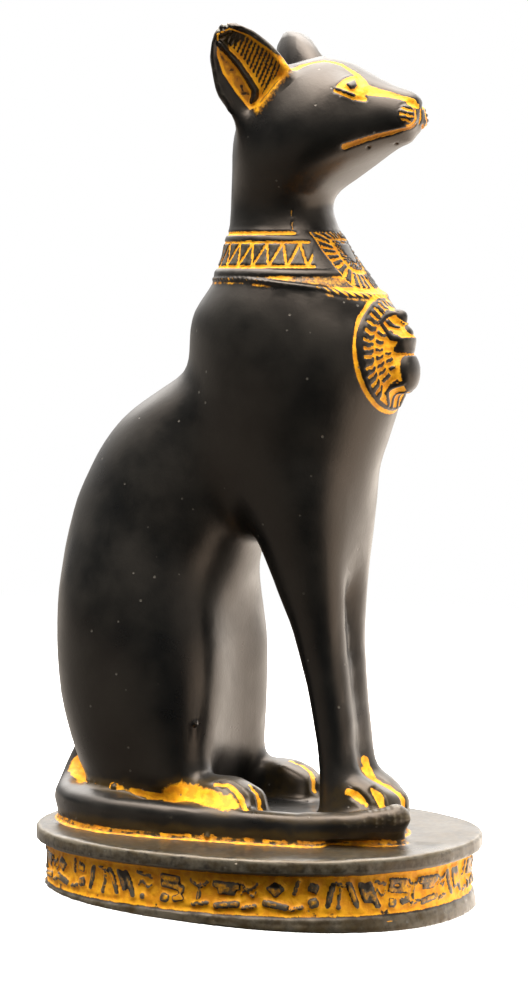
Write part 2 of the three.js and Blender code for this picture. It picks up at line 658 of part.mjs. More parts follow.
// A closed geometry from points and triangles, turned so that its faces point out
function closedGeometry({ points, faces }) {
  const geometry = new THREE.BufferGeometry();
  geometry.setAttribute('position', new THREE.Float32BufferAttribute(points.flat(), 3));
  geometry.setIndex(faces.flat());
  const volume = faces.reduce((sum, face) => {
    const [p, q, r] = face.map((i) => new THREE.Vector3(...points[i]));
    return sum + p.dot(q.cross(r));
  }, 0);
  if (volume < 0) geometry.setIndex(faces.flatMap(([a, b, c]) => [a, c, b]));
  return geometry;
}

// Plinth: a turned profile, drawn out from a circle to the oval outline
const stepRear = STEP_REAR_X - STEP_REAR_RADIUS;
const stepFront = STEP_FRONT_X + STEP_FRONT_RADIUS;
const plinthHalfLength = (stepFront - stepRear + LEDGE_REAR + LEDGE_FRONT) / 2;
const plinthHalfWidth = STEP_REAR_RADIUS + LEDGE_SIDE;
const plinthMiddleX = (stepFront + LEDGE_FRONT + stepRear - LEDGE_REAR) / 2;
const leanAngle = THREE.MathUtils.degToRad(PLINTH_LEAN);

// Point of the plinth's outline in a direction, moved out or in along the ray by an offset
function outlinePoint(angle, offset) {
  const c = Math.cos(angle);
  const s = Math.sin(angle);
  const x = plinthHalfLength * Math.sign(c) * Math.abs(c) ** (2 / PLINTH_POWER);
  const y = plinthHalfWidth * Math.sign(s) * Math.abs(s) ** (2 / PLINTH_POWER);
  const reach = 1 + offset / Math.hypot(x, y);
  return [x * reach, y * reach];
}

// How far the band's surface stands in from the rim at a height
const bandTop = PLINTH_HEIGHT - SLAB_THICKNESS;
function bandInset(z) {
  const t = clamp((z - FOOT_HEIGHT) / (bandTop - FOOT_HEIGHT), 0, 1);
  return BAND_INSET + BAND_HOLLOW * Math.sin(Math.PI * t);
}

// The foot goes deeper than the underside, which is cut when the casting leans
function plinth() {
  const rim = 1000;
  const deep = -plinthHalfLength * Math.tan(leanAngle) - 0.5;
  const profile = [[0, deep], [rim - FOOT_INSET, deep], [rim - FOOT_INSET - 0.4, FOOT_HEIGHT - 0.6]];
  const bandSteps = 2;
  for (let n = 0; n <= bandSteps; n++) {
    const z = FOOT_HEIGHT + ((bandTop - 0.6 - FOOT_HEIGHT) * n) / bandSteps;
    profile.push([rim - bandInset(z), z]);
  }
  profile.push([rim - 0.4, bandTop]);
  profile.push([rim, bandTop + 0.5]);
  for (const turn of [0, 45, 90]) {
    const angle = THREE.MathUtils.degToRad(turn);
    const out = SLAB_ROUND * (1 - Math.cos(angle));
    profile.push([rim - out, PLINTH_HEIGHT - SLAB_ROUND * (1 - Math.sin(angle))]);
  }
  profile.push([0, PLINTH_HEIGHT]);
  const turned = new THREE.LatheGeometry(profile.map(([r, z]) => new THREE.Vector2(r, z)), PLINTH_STEPS);
  turned.rotateX(Math.PI / 2);
  const position = turned.getAttribute('position');
  for (let n = 0; n < position.count; n++) {
    const radius = Math.hypot(position.getX(n), position.getY(n));
    if (radius < 1) continue;
    const angle = Math.atan2(position.getY(n), position.getX(n));
    position.setXY(n, ...outlinePoint(angle, radius - rim));
  }
  return turned;
}

// Signs in the band: strokes in groups, each as its place along and up, its width, height and turn
const SIGNS = [
  [[-2.9, 0, 1.7, 8.4, -0.35], [0, 0.8, 1.7, 6.6, -0.35], [2.9, 0, 1.7, 8.4, -0.35]],
  [[0, 1.8, 3.8, 3.8, 0.785], [0, -2.8, 7.4, 1.7, 0.2]],
  [[-0.3, 3.1, 6.2, 1.6, 0.12], [0.3, 0.5, 7.6, 1.7, 0.12], [-2.3, -2.9, 2.4, 2.4, 0.3],
    [2, -2.6, 3.4, 1.7, -0.3]],
  [[-2.2, 2.3, 2.8, 2.6, 0.3], [-2.2, -2, 2.8, 2.6, -0.3], [2.4, 0, 1.8, 8.2, 0.25]],
  [[0, -3.3, 7.6, 1.6, -0.12], [0, 2.2, 8, 2, 0.05], [0.1, 0.6, 5.2, 2, 0.05]],
];

function signs() {
  const count = Math.round((Math.PI * (plinthHalfLength + plinthHalfWidth)) / SIGN_PITCH);
  const middleZ = (FOOT_HEIGHT + bandTop) / 2;
  const list = [];
  for (let n = 0; n < count; n++) {
    const angle = (2 * Math.PI * n) / count;
    const [x, y] = outlinePoint(angle, 0);
    const [nextX, nextY] = outlinePoint(angle + 0.01, 0);
    const heading = Math.atan2(nextY - y, nextX - x);
    for (const [along, up, width, height, turn] of SIGNS[(n * 2) % SIGNS.length]) {
      const stroke = new THREE.BoxGeometry(width, SIGN_RISE + SIGN_SINK, height);
      stroke.rotateY(turn);
      stroke.translate(along, bandInset(middleZ + up) + (SIGN_SINK - SIGN_RISE) / 2, middleZ + up);
      stroke.rotateZ(heading);
      stroke.translate(x, y, 0);
      list.push(stroke);
    }
  }
  return list;
}

const wasm = await Module();
wasm.setup();

// A solid for joining and cutting, from a closed geometry
function solid(geometry) {
  let shared = geometry;
  if (geometry.hasAttribute('normal')) {
    const bare = geometry.clone();
    bare.deleteAttribute('normal');
    bare.deleteAttribute('uv');
    shared = mergeVertices(bare, 1e-4);
  }
  return new wasm.Manifold(new wasm.Mesh({
    numProp: 3,
    vertProperties: new Float32Array(shared.getAttribute('position').array),
    triVerts: new Uint32Array(shared.getIndex().array),
  }));
}

function cast() {
  const room = new THREE.Box3(
    new THREE.Vector3(share(-30), share(-17), -STEP_HEIGHT - SINK - 2 * GRID),
    new THREE.Vector3(share(28), share(17), share(103)),
  );
  const cat = closedGeometry(thin(surface(figure, room), FIGURE_FACES));
  cat.translate(-plinthMiddleX, 0, PLINTH_HEIGHT + STEP_HEIGHT);
  const pieces = [plinth(), ...signs(), cat].map(solid);
  const level = wasm.Manifold.union(pieces).rotate([0, -PLINTH_LEAN, 0]).trimByPlane([0, 0, 1], 0);
  const { min, max } = level.boundingBox();
  const centred = level.translate([-(min[0] + max[0]) / 2, -(min[1] + max[1]) / 2, 0]);
  const { vertProperties, triVerts } = centred.getMesh();
  const geometry = new THREE.BufferGeometry();
  geometry.setAttribute('position', new THREE.BufferAttribute(vertProperties, 3));
  geometry.setIndex(new THREE.BufferAttribute(triVerts, 1));
  geometry.computeVertexNormals();
  return geometry;
}

const blackStone = new THREE.MeshStandardMaterial({ color: 0x1c1e1f, roughness: 0.38, metalness: 0 });
const catFigure = new THREE.Mesh(cast(), blackStone);
catFigure.name = 'cat_figure';

const ornament = new THREE.Group();
ornament.add(catFigure);
export default ornament;
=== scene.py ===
"""Seated Egyptian cat cast in one piece: its carved and painted skin, floor, lights and camera.

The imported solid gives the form. A copy of it is made fine and even, smoothed where the casting is
smooth, carved with the ornament, and thinned again. Ochre paint is left where the carving is deep.
Sizes are millimetres in the figure's own frame, where the cat looks along +X and z 0 is the top of
the step that it sits on. CastingFrame turns them into the part's metres.
"""

import logging
import math
from dataclasses import dataclass, field
from enum import Enum
from typing import Sequence

import bpy
import numpy as np
from mathutils import Matrix, Vector


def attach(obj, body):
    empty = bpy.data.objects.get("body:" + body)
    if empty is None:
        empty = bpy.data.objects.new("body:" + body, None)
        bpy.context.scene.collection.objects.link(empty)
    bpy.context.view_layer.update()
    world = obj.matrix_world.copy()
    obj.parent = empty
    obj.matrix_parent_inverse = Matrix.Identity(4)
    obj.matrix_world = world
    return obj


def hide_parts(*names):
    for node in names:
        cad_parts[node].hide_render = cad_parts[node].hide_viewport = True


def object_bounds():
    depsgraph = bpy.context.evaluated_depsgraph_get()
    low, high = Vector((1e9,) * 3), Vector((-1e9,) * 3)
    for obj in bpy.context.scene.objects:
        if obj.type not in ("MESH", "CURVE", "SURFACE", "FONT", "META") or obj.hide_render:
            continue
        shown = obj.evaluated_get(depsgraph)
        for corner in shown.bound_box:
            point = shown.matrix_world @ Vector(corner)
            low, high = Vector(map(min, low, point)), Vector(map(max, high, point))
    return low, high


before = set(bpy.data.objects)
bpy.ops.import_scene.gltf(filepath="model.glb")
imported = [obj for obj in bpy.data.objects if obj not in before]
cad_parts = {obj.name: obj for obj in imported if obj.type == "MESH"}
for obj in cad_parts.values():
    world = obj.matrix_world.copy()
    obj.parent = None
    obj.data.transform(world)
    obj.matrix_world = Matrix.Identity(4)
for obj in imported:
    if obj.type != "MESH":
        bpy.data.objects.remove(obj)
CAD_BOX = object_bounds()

LOG = logging.getLogger("cat_statuette")
CAD_NODE = "cat_figure"
MM = 0.001
FAR = 1e9

Array = np.ndarray
Flat = tuple[float, float]
Spot = tuple[float, float, float]
Colour = tuple[float, float, float, float]
Outline = Sequence[Flat]
Route = Sequence[Spot]
WHITE: Colour = (1, 1, 1, 1)


class Mask(Enum):
    """Values that each point of the skin carries for the finishes."""

    OCHRE = "ochre"
    # Rubbed, lighter stone; it also carries a painted highlight on the plinth's rim and slab top.
    WEAR_AND_HIGHLIGHT = "wear_and_highlight"
    # Brown residue in recesses and creases; it also carries painted shade there and on the step's wall.
    GRIME_AND_SHADE = "grime_and_shade"
    CHALK = "chalk"
    STAIN = "stain"


# ---------------------------------------------------------------- places and profiles


@dataclass(frozen=True)
class CastingFrame:
    """Where the figure's own frame lies in the part's frame.

    The casting leans back by a small angle, because its underside was ground off a little askew.
    """

    lean: float = 1.8
    plinth_middle: float = 1.35
    step_top: float = 25.2
    shift: float = 0.52

    def axes(self) -> Array:
        """Rows are the figure's axes in the part's frame."""
        a = math.radians(self.lean)
        return np.array([[math.cos(a), 0, math.sin(a)], [0, 1, 0], [-math.sin(a), 0, math.cos(a)]])

    def to_figure(self, metres: Array) -> Array:
        """Turns points of the part's frame into figure millimetres.

        Args:
            metres: points, one to a row.

        Returns:
            The same points in the figure's frame.
        """
        moved = metres / MM - np.array([self.shift, 0, 0])
        return moved @ self.axes().T + np.array([self.plinth_middle, 0, -self.step_top])

    def to_part(self, millimetres: Array) -> Array:
        """Turns figure millimetres into points of the part's frame.

        Args:
            millimetres: points, one to a row.

        Returns:
            The same points in metres in the part's frame.
        """
        moved = millimetres - np.array([self.plinth_middle, 0, -self.step_top])
        return (moved @ self.axes() + np.array([self.shift, 0, 0])) * MM


def ramp(values: Array, low: float, high: float) -> Array:
    """Soft step.

    Args:
        values: where to look.
        low: value up to which the step is 0.
        high: value from which the step is 1. It may be the lower of the two.

    Returns:
        Numbers from 0 to 1.
    """
    t = np.clip((values - low) / (high - low), 0, 1)
    return t * t * (3 - 2 * t)


def ridge(distance: Array, half_width: float | Array) -> Array:
    """Round profile of a stroke: 1 on its middle line, 0 from its edge on."""
    t = np.clip(np.abs(distance) / half_width, 0, 1)
    return (1 - t * t) ** 2


def between(values: Array, low: float, high: float, soft: float = 0.4) -> Array:
    """1 between two values and 0 outside, with soft edges."""
    return ramp(values, low - soft / 2, low + soft / 2) * ramp(values, high + soft / 2, high - soft / 2)


def comb(phase: Array) -> Array:
    """Even row of humps: 1 at each whole number and 0 halfway to the next."""
    return 0.5 + 0.5 * np.cos(2 * math.pi * phase)


def flat_distance(u: Array, v: Array, start: Flat, end: Flat) -> Array:
    """Distance from points of a plane to a straight stroke.

    Args:
        u: first coordinate of the points.
        v: second coordinate of the points.
        start: where the stroke starts.
        end: where the stroke ends.

    Returns:
        Distances.
    """
    du, dv = end[0] - start[0], end[1] - start[1]
    t = np.clip(((u - start[0]) * du + (v - start[1]) * dv) / (du * du + dv * dv), 0, 1)
    return np.hypot(u - start[0] - t * du, v - start[1] - t * dv)


def path_distance(u: Array, v: Array, corners: Outline) -> Array:
    """Distance from points of a plane to a line of straight strokes.

    Args:
        u: first coordinate of the points.
        v: second coordinate of the points.
        corners: where the strokes meet, in order.

    Returns:
        Distances.
    """
    strokes = zip(corners[:-1], corners[1:])
    return np.minimum.reduce([flat_distance(u, v, start, end) for start, end in strokes])


def outline_depth(u: Array, v: Array, corners: Outline) -> Array:
    """How far points of a plane lie inside an outline.

    Args:
        u: first coordinate of the points.
        v: second coordinate of the points.
        corners: the outline's corners in order.

    Returns:
        Distances to the outline, negative outside it.
    """
    gap = np.full(len(u), FAR)
    inside = np.zeros(len(u), bool)
    for start, end in zip(corners, list(corners[1:]) + [corners[0]]):
        gap = np.minimum(gap, flat_distance(u, v, start, end))
        crosses = (start[1] > v) != (end[1] > v)
        rise = (end[1] - start[1]) or 1.0
        inside ^= crosses & (u < start[0] + (v - start[1]) * (end[0] - start[0]) / rise)
    return np.where(inside, gap, -gap)


# ---------------------------------------------------------------- the skin


class Skin:
    """Points of the casting's mesh in figure millimetres, and what is carved into them.

    bare is 1 where no residue of paint may settle.
    """

    PULL = 0.6
    PUSH = 1.03

    def __init__(self, mesh: bpy.types.Mesh, place: CastingFrame) -> None:
        """Reads a mesh.

        Args:
            mesh: mesh in the part's frame.
            place: where the figure's frame lies.
        """
        self.mesh = mesh
        self.place = place
        self.count = len(mesh.vertices)
        flat = np.empty(self.count * 3)
        mesh.vertices.foreach_get("co", flat)
        self.points = place.to_figure(flat.reshape(-1, 3))
        pairs = np.empty(len(mesh.edges) * 2, np.int32)
        mesh.edges.foreach_get("vertices", pairs)
        self.starts, self.ends = pairs.reshape(-1, 2).T
        self.valence = np.bincount(pairs, minlength=self.count).clip(1)[:, None]
        self.height = np.zeros(self.count)
        self.bare = np.zeros(self.count)
        self.masks = {mask: np.zeros(self.count) for mask in Mask}

    def mean(self, values: Array) -> Array:
        """Mean over each point's neighbours.

        Args:
            values: one row for each point.

        Returns:
            Rows of the same shape.
        """
        total = np.empty_like(values)
        for column in range(values.shape[1]):
            there = np.bincount(self.starts, values[self.ends, column], self.count)
            back = np.bincount(self.ends, values[self.starts, column], self.count)
            total[:, column] = there + back
        return total / self.valence

    def smooth(self, weight: Array, rounds: int) -> None:
        """Evens the surface out and keeps its bulk.

        Args:
            weight: how far each point takes part, from 0 to 1.
            rounds: number of passes, each a pull in and a push out.
        """
        pull = self.PULL * weight[:, None]
        for _ in range(rounds):
            self.points += pull * (self.mean(self.points) - self.points)
            self.points -= self.PUSH * pull * (self.mean(self.points) - self.points)

    def mirrored(self) -> Array:
        """Points with both sides of the cat laid on the left one."""
        return self.points * [1, 0, 1] + np.abs(self.points) * [0, 1, 0]

    def blurred(self, rounds: int) -> Array:
        """Averages the points plainly, which flattens all that is smaller than it reaches.

        Args:
            rounds: number of passes.

        Returns:
            The averaged points. The skin's own stay where they are.
        """
        values = self.points.copy()
        for _ in range(rounds):
            values = self.mean(values)
        return values

    def noise(self, size: float, seed: int) -> Array:
        """Smooth seeded noise at each point, with humps of about this size in millimetres."""
        return cell_noise(self.points, size, seed)

    def normals(self) -> Array:
        """Writes the points back and reads the normals.

        Returns:
            Unit normals in the figure's frame.
        """
        self.write()
        flat = np.empty(self.count * 3)
        self.mesh.vertices.foreach_get("normal", flat)
        return flat.reshape(-1, 3) @ self.place.axes().T

    def write(self) -> None:
        """Writes the points back to the mesh."""
        self.mesh.vertices.foreach_set("co", self.place.to_part(self.points).ravel())
        self.mesh.update()

    def raise_by(self, height: Array) -> None:
        """Adds to the relief that the next call of press makes, in millimetres along the normal."""
        self.height += height

    def paint(self, mask: Mask, amount: Array) -> None:
        """Adds a mask where it is stronger than what is there."""
        self.masks[mask] = np.maximum(self.masks[mask], amount)

    def wipe(self, mask: Mask, amount: Array) -> None:
        """Takes a mask away where amount is 1."""
        self.masks[mask] = self.masks[mask] * (1 - np.clip(amount, 0, 1))

    def press(self) -> None:
        """Moves the points out and in by the relief gathered so far."""
        self.points += self.normals() * self.height[:, None]
        self.height[:] = 0

    def route_distance(self, route: Route, mirrored: bool = True) -> tuple[Array, Array]:
        """Distance from each point to a line of strokes.

        Args:
            route: corners of the line, on the left side if it is mirrored.
            mirrored: whether the same line runs on both sides of the cat.

        Returns:
            Distances, and how far along the route the nearest place lies, from 0 to 1.
        """
        points = self.mirrored() if mirrored else self.points
        corners = np.array(route, float)
        lengths = np.linalg.norm(np.diff(corners, axis=0), axis=1)
        best = np.full(self.count, FAR)
        along = np.zeros(self.count)
        run = 0.0
        for start, end, length in zip(corners[:-1], corners[1:], lengths):
            way = end - start
            t = np.clip((points - start) @ way / (way @ way), 0, 1)
            distance = np.linalg.norm(points - start - t[:, None] * way, axis=1)
            nearer = distance < best
            best[nearer] = distance[nearer]
            along[nearer] = (run + t[nearer] * length) / lengths.sum()
            run += length
        return best, along


def cell_noise(points: Array, size: float, seed: int) -> Array:
    """Smooth seeded noise.

    Args:
        points: where to look, in millimetres.
        size: distance between its humps.
        seed: picks the pattern.

    Returns:
        Numbers from about -1 to 1.
    """
    primes = (73856093, 19349663, 83492791)
    grid = points / size
    cell = np.floor(grid).astype(np.int64)
    t = grid - cell
    t = t * t * (3 - 2 * t)
    total = np.zeros(len(points))
    for corner in np.ndindex(2, 2, 2):
        spot = cell + corner
        key = np.bitwise_xor.reduce([spot[:, axis] * prime for axis, prime in enumerate(primes)])
        key = key ^ (seed * 2654435761)
        key = (key ^ (key >> 13)) * 1274126177
        value = ((key ^ (key >> 16)) & 0xFFFF) / 32767.5 - 1
        share = np.ones(len(points))
        for axis in range(3):
            share *= t[:, axis] if corner[axis] else 1 - t[:, axis]
        total += value * share
    return total


@dataclass(frozen=True)
class Zone:
    """Part of the figure inside soft limits, each an axis and the two ends of a fade from 0 to 1."""

    limits: tuple[tuple[str, float, float], ...]

    def weight(self, skin: Skin) -> Array:
        """How far each point lies inside.

        Args:
            skin: the casting's skin.

        Returns:
            Numbers from 0 to 1.
        """
        x, y, z = skin.points.T
        place = {"x": x, "side": np.abs(y), "z": z}
        return np.multiply.reduce([ramp(place[axis], start, end) for axis, start, end in self.limits])


@dataclass(frozen=True)
class CutLine:
    """Line cut into the casting, with paint left in it.

    halves gives half its width and coats the strength of its paint, both at shares of the way along it.
    edge says at which depth of its round profile the paint starts and is full.
    """

    route: Route
    depth: float
    halves: Outline
    coats: Outline = ((0, 1), (1, 1))
    edge: Flat = (0.05, 0.5)
    mirrored: bool = True

    def cut(self, skin: Skin) -> Array:
        """Cuts and paints it.

        Args:
            skin: the casting's skin.

        Returns:
            The line's profile, from 0 to 1.
        """
        distance, along = skin.route_distance(self.route, self.mirrored)
        profile = ridge(distance, np.interp(along, *zip(*self.halves)))
        skin.raise_by(-self.depth * profile)
        skin.paint(Mask.OCHRE, ramp(profile, *self.edge) * np.interp(along, *zip(*self.coats)))
        return profile


@dataclass(frozen=True)
class Smear:
    """Paint or brown residue rubbed along a line: full up to inner, gone from outer, its edge ragged."""

    route: Route
    mask: Mask
    outer: float
    inner: float
    ragged: float = 0.0
    amount: float = 1.0
    mirrored: bool = False

    def lay(self, skin: Skin, loose: Array) -> None:
        """Lays it on.

        Args:
            skin: the casting's skin.
            loose: noise for its edge.
        """
        distance, _ = skin.route_distance(self.route, self.mirrored)
        skin.paint(self.mask, ramp(distance + self.ragged * loose, self.outer, self.inner) * self.amount)


# ---------------------------------------------------------------- carving, one class for each part


@dataclass
class EarPair:
    """Hollow ears: a dark ridge, a fan of ribs, a painted floor and a chipped tip.

    rib_fan says where the ribs fade in and out, counted in ribs. ridge_route and outline lie in the plane
    of the hollow, up the ear and across it.
    """

    foot: Spot = (9.9, 15.1, 206.1)
    tip: Spot = (1.1, 20.9, 225.2)
    front: Spot = (17.8, 13.0, 215.1)
    half_width: float = 11.0
    hollow_half: float = 8.4
    rim: float = 2.0
    crest: float = 3.4
    rib_pitch: float = 1.27
    rib_depth: float = 0.55
    rib_fan: tuple[float, float, float, float] = (-4.4, -3.6, 11.0, 11.8)
    ridge_height: float = 1.5
    ridge_halves: Outline = ((-2, 1.25), (6, 1.1), (18, 0.9))
    ridge_route: Outline = ((17.4, -3.4), (9.8, -1.6), (3.5, -1.0), (0.5, -1.0), (-1.7, -2.9))
    spill: float = 3.0
    outline: Outline = ((19.8, -2.4), (19.4, 1.6), (15.0, 5.4), (8.3, 8.9), (2.5, 10.3), (1.2, 8.0),
                        (-0.2, 4.2), (-1.9, 0.4), (-3.5, -3.2), (-3.3, -4.9), (2.5, -6.0), (9.2, -6.6),
                        (14.5, -5.5))
    tip_bare: Flat = (13.5, 17.0)
    speck_size: float = 1.1
    chip_reach: float = 3.6
    chip_depth: float = 0.32

    def carve(self, skin: Skin) -> None:
        """Carves both ears, each in the plane of its own hollow.

        Args:
            skin: the casting's skin.
        """
        foot, tip = np.array(self.foot), np.array(self.tip)
        length = np.linalg.norm(tip - foot)
        rise = (tip - foot) / length
        fore = np.array(self.front) - foot
        fore -= rise * (fore @ rise)
        fore /= np.linalg.norm(fore)
        outward = np.cross(rise, fore)
        spot = skin.mirrored() - foot
        up, across, out = spot @ rise, spot @ fore, spot @ outward
        half = self.half_width * (1 - np.clip(up / length, 0, 1) ** 2) ** 0.6
        hollow = np.minimum(self.hollow_half, half - self.rim)
        depth = np.minimum(hollow - np.abs(across), up - across * 0.4 + 2.5)
        depth = np.minimum(depth, length - self.crest - up)
        side = np.where(skin.points[:, 1] < 0, -1.0, 1.0)
        facing = skin.normals() * np.stack([np.ones(skin.count), side, np.ones(skin.count)], 1)
        open_side = ramp(facing @ outward, -0.3, 0.1) * ramp(out, -5.5, -4.5) * ramp(out, 2.5, 1.5)
        inside = ramp(depth, -0.3, 0.5) * open_side
        room = outline_depth(up, across, self.outline)
        floor = ramp(room, -0.25, 0.25) * ramp(out, -6.5, -5.5) * ramp(out, 3.0, 2.0)
        floor *= ramp(facing @ outward, -0.35, 0.05)

        distance = path_distance(up, across, self.ridge_route)
        middle = np.interp(up, *zip(*sorted(self.ridge_route)))
        width = np.interp(up, *zip(*self.ridge_halves))
        body = ridge(distance, width) * ramp(up, -3.2, -1.6) * inside
        skin.raise_by(self.ridge_height * body)

        phase = (0.8 * up - 0.6 * across) / self.rib_pitch
        first, second, last_but_one, last = self.rib_fan
        fan = ramp(phase, first, second) * ramp(phase, last, last_but_one)
        wall = ramp(across - middle, 1.6, 2.4) * fan * floor * ramp(room, 0.5, 1.0)
        groove = comb(phase)
        skin.raise_by(-self.rib_depth * (0.5 - groove) * wall)

        skin.paint(Mask.OCHRE, floor)
        skin.paint(Mask.GRIME_AND_SHADE, floor * ramp(across - middle, 1.6, 2.6) * 0.5)
        skin.wipe(Mask.OCHRE, ramp(distance, width, width * 0.8) * ramp(up, -2.8, -1.8))
        skin.wipe(Mask.OCHRE, wall * ramp(groove, 0.3, 0.6))
        skin.wipe(Mask.OCHRE, ramp(up, *self.tip_bare) * ramp(room, 0.2, 0.6))
        pocket = ramp(middle - across, 1.2, 2.0) * floor * ramp(room, 0.5, 1.0)
        specks = skin.noise(self.speck_size, seed=9)
        skin.wipe(Mask.OCHRE, pocket * np.maximum(ramp(specks, 0.2, 0.5) * 0.6, ramp(up, 9, 14) * 0.6))
        skin.paint(Mask.STAIN, pocket * (0.75 + 0.5 * specks))
        near = np.exp(-np.clip(-room, 0, 60) / self.spill) * ramp(room, 0.5, -0.3) * ramp(up, 10, 4)
        near *= ramp(across, -5.5, -2.5)
        skin.paint(Mask.OCHRE, 0.8 * near * ramp(facing @ outward, 0.0, 0.4) * ramp(out, -6, -3))
        self.chip_tip(skin)

    def chip_tip(self, skin: Skin) -> None:
        """Breaks small chips out of the tip of the ear nearer to the camera.

        Args:
            skin: the casting's skin.
        """
        tip_gap = np.linalg.norm(skin.points - np.array(self.tip) * [1, -1, 1], axis=1)
        broken = ramp(tip_gap, self.chip_reach, self.chip_reach * 0.4)
        skin.raise_by(-self.chip_depth * broken * (0.6 + skin.noise(0.9, seed=4)))
        skin.paint(Mask.CHALK, broken * (0.45 + 0.45 * skin.noise(0.8, seed=5)))


@dataclass
class Face:
    """Brow, eyes, nose, whisker pads and mouth, the same on both sides.

    The eye's outlines lie in an upright plane that is turned by eye_view from the cat's own side.
    """

    brow: CutLine = CutLine(
        ((15.5, 12.5, 210.5), (20.1, 8.4, 213.6), (26.0, 5.9, 215.1), (31.6, 5.0, 213.9), (36.6, 5.6, 210.7),
         (39.2, 6.9, 208.2)),
        0.4, ((0, 2.125), (0.35, 1.0), (0.8, 1.25), (1, 1.875)), ((0, 0.85), (0.3, 0.62), (0.8, 0.8), (1, 1)))
    nose_band: CutLine = CutLine(
        ((38.9, 8.2, 206.6), (42.0, 7.3, 206.0), (46.5, 5.2, 204.9), (50.6, 3.9, 203.6), (52.8, 2.7, 202.8)),
        0.3, ((0, 3.6), (0.35, 2.3), (0.75, 1.3), (1, 1.5)), ((0, 1), (0.35, 0.85), (0.7, 0.7), (1, 1)),
        (0, 0.7))
    eye: Spot = (36.8, 9.9, 207.4)
    eye_view: float = 29.0
    eye_outline: Outline = ((22.9, 206.9), (23.9, 208.1), (25.8, 209.5), (27.8, 210.2), (29.4, 210.2),
                            (30.6, 208.6), (30.9, 206.4), (31.3, 203.9), (28.9, 204.4), (26.4, 205.3))
    eye_depth: float = 0.35
    pupil_outline: Outline = ((25.7, 207.8), (27.0, 208.6), (28.5, 209.2), (29.2, 207.6), (28.4, 206.4),
                              (27.2, 206.1))
    pupil_rise: float = 0.5
    lid_bar: Outline = ((23.3, 206.3), (28.0, 204.5))
    lid_rise: float = 0.4
    tear_line: Outline = ((23.0, 205.9), (25.3, 204.9), (27.7, 203.8), (31.2, 203.4))
    mouth: CutLine = CutLine(
        ((36.5, 13.2, 190.1), (40.2, 11.2, 191.5), (44.1, 8.9, 192.9), (47.9, 6.7, 194.0), (51.2, 4.9, 195.1),
         (53.4, 2.2, 196.2)),
        0.5, ((0, 1.5), (0.25, 1.2), (0.8, 0.95), (1, 0.8)), edge=(0.15, 0.6))
    lip_parting: CutLine = CutLine(((53.6, 0.0, 200.6), (53.6, 0.0, 196.4)), 0.6, ((0, 0.7), (1, 0.7)))
    nostril: CutLine = CutLine(((51.9, 3.7, 202.6), (53.9, 1.7, 201.4)), 0.5, ((0, 1.2), (1, 1.2)))
    pad: Spot = (51.9, 5.4, 199.2)
    pad_size: float = 2.5
    pad_rise: float = 0.45
    slash_pitch: float = 1.45
    nose_tip: Spot = (53.6, 0.0, 204.4)
    nose_bare: Flat = (2.6, 1.8)
    pits: Route = ((41.4, 8.4, 189.9), (47.5, 3.1, 191.1))
    pit_depth: float = 0.6
    pit_half: float = 0.8

    def carve(self, skin: Skin) -> None:
        """Carves and paints the face.

        Args:
            skin: the casting's skin.
        """
        self.brow.cut(skin)
        self.nose_band.cut(skin)
        self.draw_eye(skin)
        slit = self.mouth.cut(skin)
        skin.paint(Mask.STAIN, ramp(slit, 0.05, 0.4) * 0.7)
        self.lip_parting.cut(skin)
        self.nostril.cut(skin)
        self.whisker_pads(skin)
        skin.wipe(Mask.OCHRE, ramp(self.distance(skin, self.nose_tip), *self.nose_bare))
        for pit in self.pits:
            skin.raise_by(-self.pit_depth * ridge(self.distance(skin, pit), self.pit_half))

    def whisker_pads(self, skin: Skin) -> None:
        """Raises the two pads, each with a painted ring round it and painted slashes across it.

        Args:
            skin: the casting's skin.
        """
        gap = skin.mirrored() - np.array(self.pad)
        around = np.linalg.norm(gap * [1, 1, 0.8], axis=1)
        size = self.pad_size
        oval = ramp(around, size, size * 0.75)
        skin.raise_by(self.pad_rise * oval - 0.12 * ridge(around - size * 1.1, 0.5))
        front = ramp(gap[:, 0], -0.8, 0.6)
        skin.paint(Mask.OCHRE, between(around, size * 0.95, size * 1.25, 0.4) * front)
        skin.wipe(Mask.OCHRE, oval)
        slashes = comb((gap[:, 2] + gap[:, 0] * 0.3 + 0.3) / self.slash_pitch)
        skin.raise_by(-self.pad_rise * oval * ramp(slashes, 0.45, 0.9))
        skin.paint(Mask.OCHRE, ramp(slashes, 0.5, 0.8) * ramp(around, size * 0.95, size * 0.75))

    def draw_eye(self, skin: Skin) -> None:
        """Draws the eye as it is seen from the front quarter: an almond, the pupil, a bar and a tear line.

        Args:
            skin: the casting's skin.
        """
        spot = skin.mirrored()
        turn = math.radians(self.eye_view)
        across, up = spot[:, 0] * math.cos(turn) - spot[:, 1] * math.sin(turn), spot[:, 2]
        near = ramp(self.distance(skin, self.eye), 9.0, 8.0) * ramp(spot[:, 1], 3.0, 4.5)
        almond = outline_depth(across, up, self.eye_outline)
        iris = outline_depth(across, up, self.pupil_outline)
        tear = path_distance(across, up, self.tear_line)
        bar = path_distance(across, up, self.lid_bar)
        hollow = np.maximum(ramp(almond, -0.3, 0.25), ramp(tear, 0.8, 0.4)) * near
        skin.raise_by(-self.eye_depth * hollow)
        skin.paint(Mask.OCHRE, hollow)
        skin.raise_by((self.pupil_rise * ramp(iris, -0.4, 0.6) + self.lid_rise * ramp(bar, 0.8, 0.3)) * near)
        skin.wipe(Mask.OCHRE, np.maximum(ramp(iris, -0.2, 0.2), ramp(bar, 0.62, 0.34)) * near)

    @staticmethod
    def distance(skin: Skin, spot: Spot) -> Array:
        """Distance from each point to a spot of the face, on its own side of the cat."""
        return np.linalg.norm(skin.mirrored() - np.array(spot), axis=1)


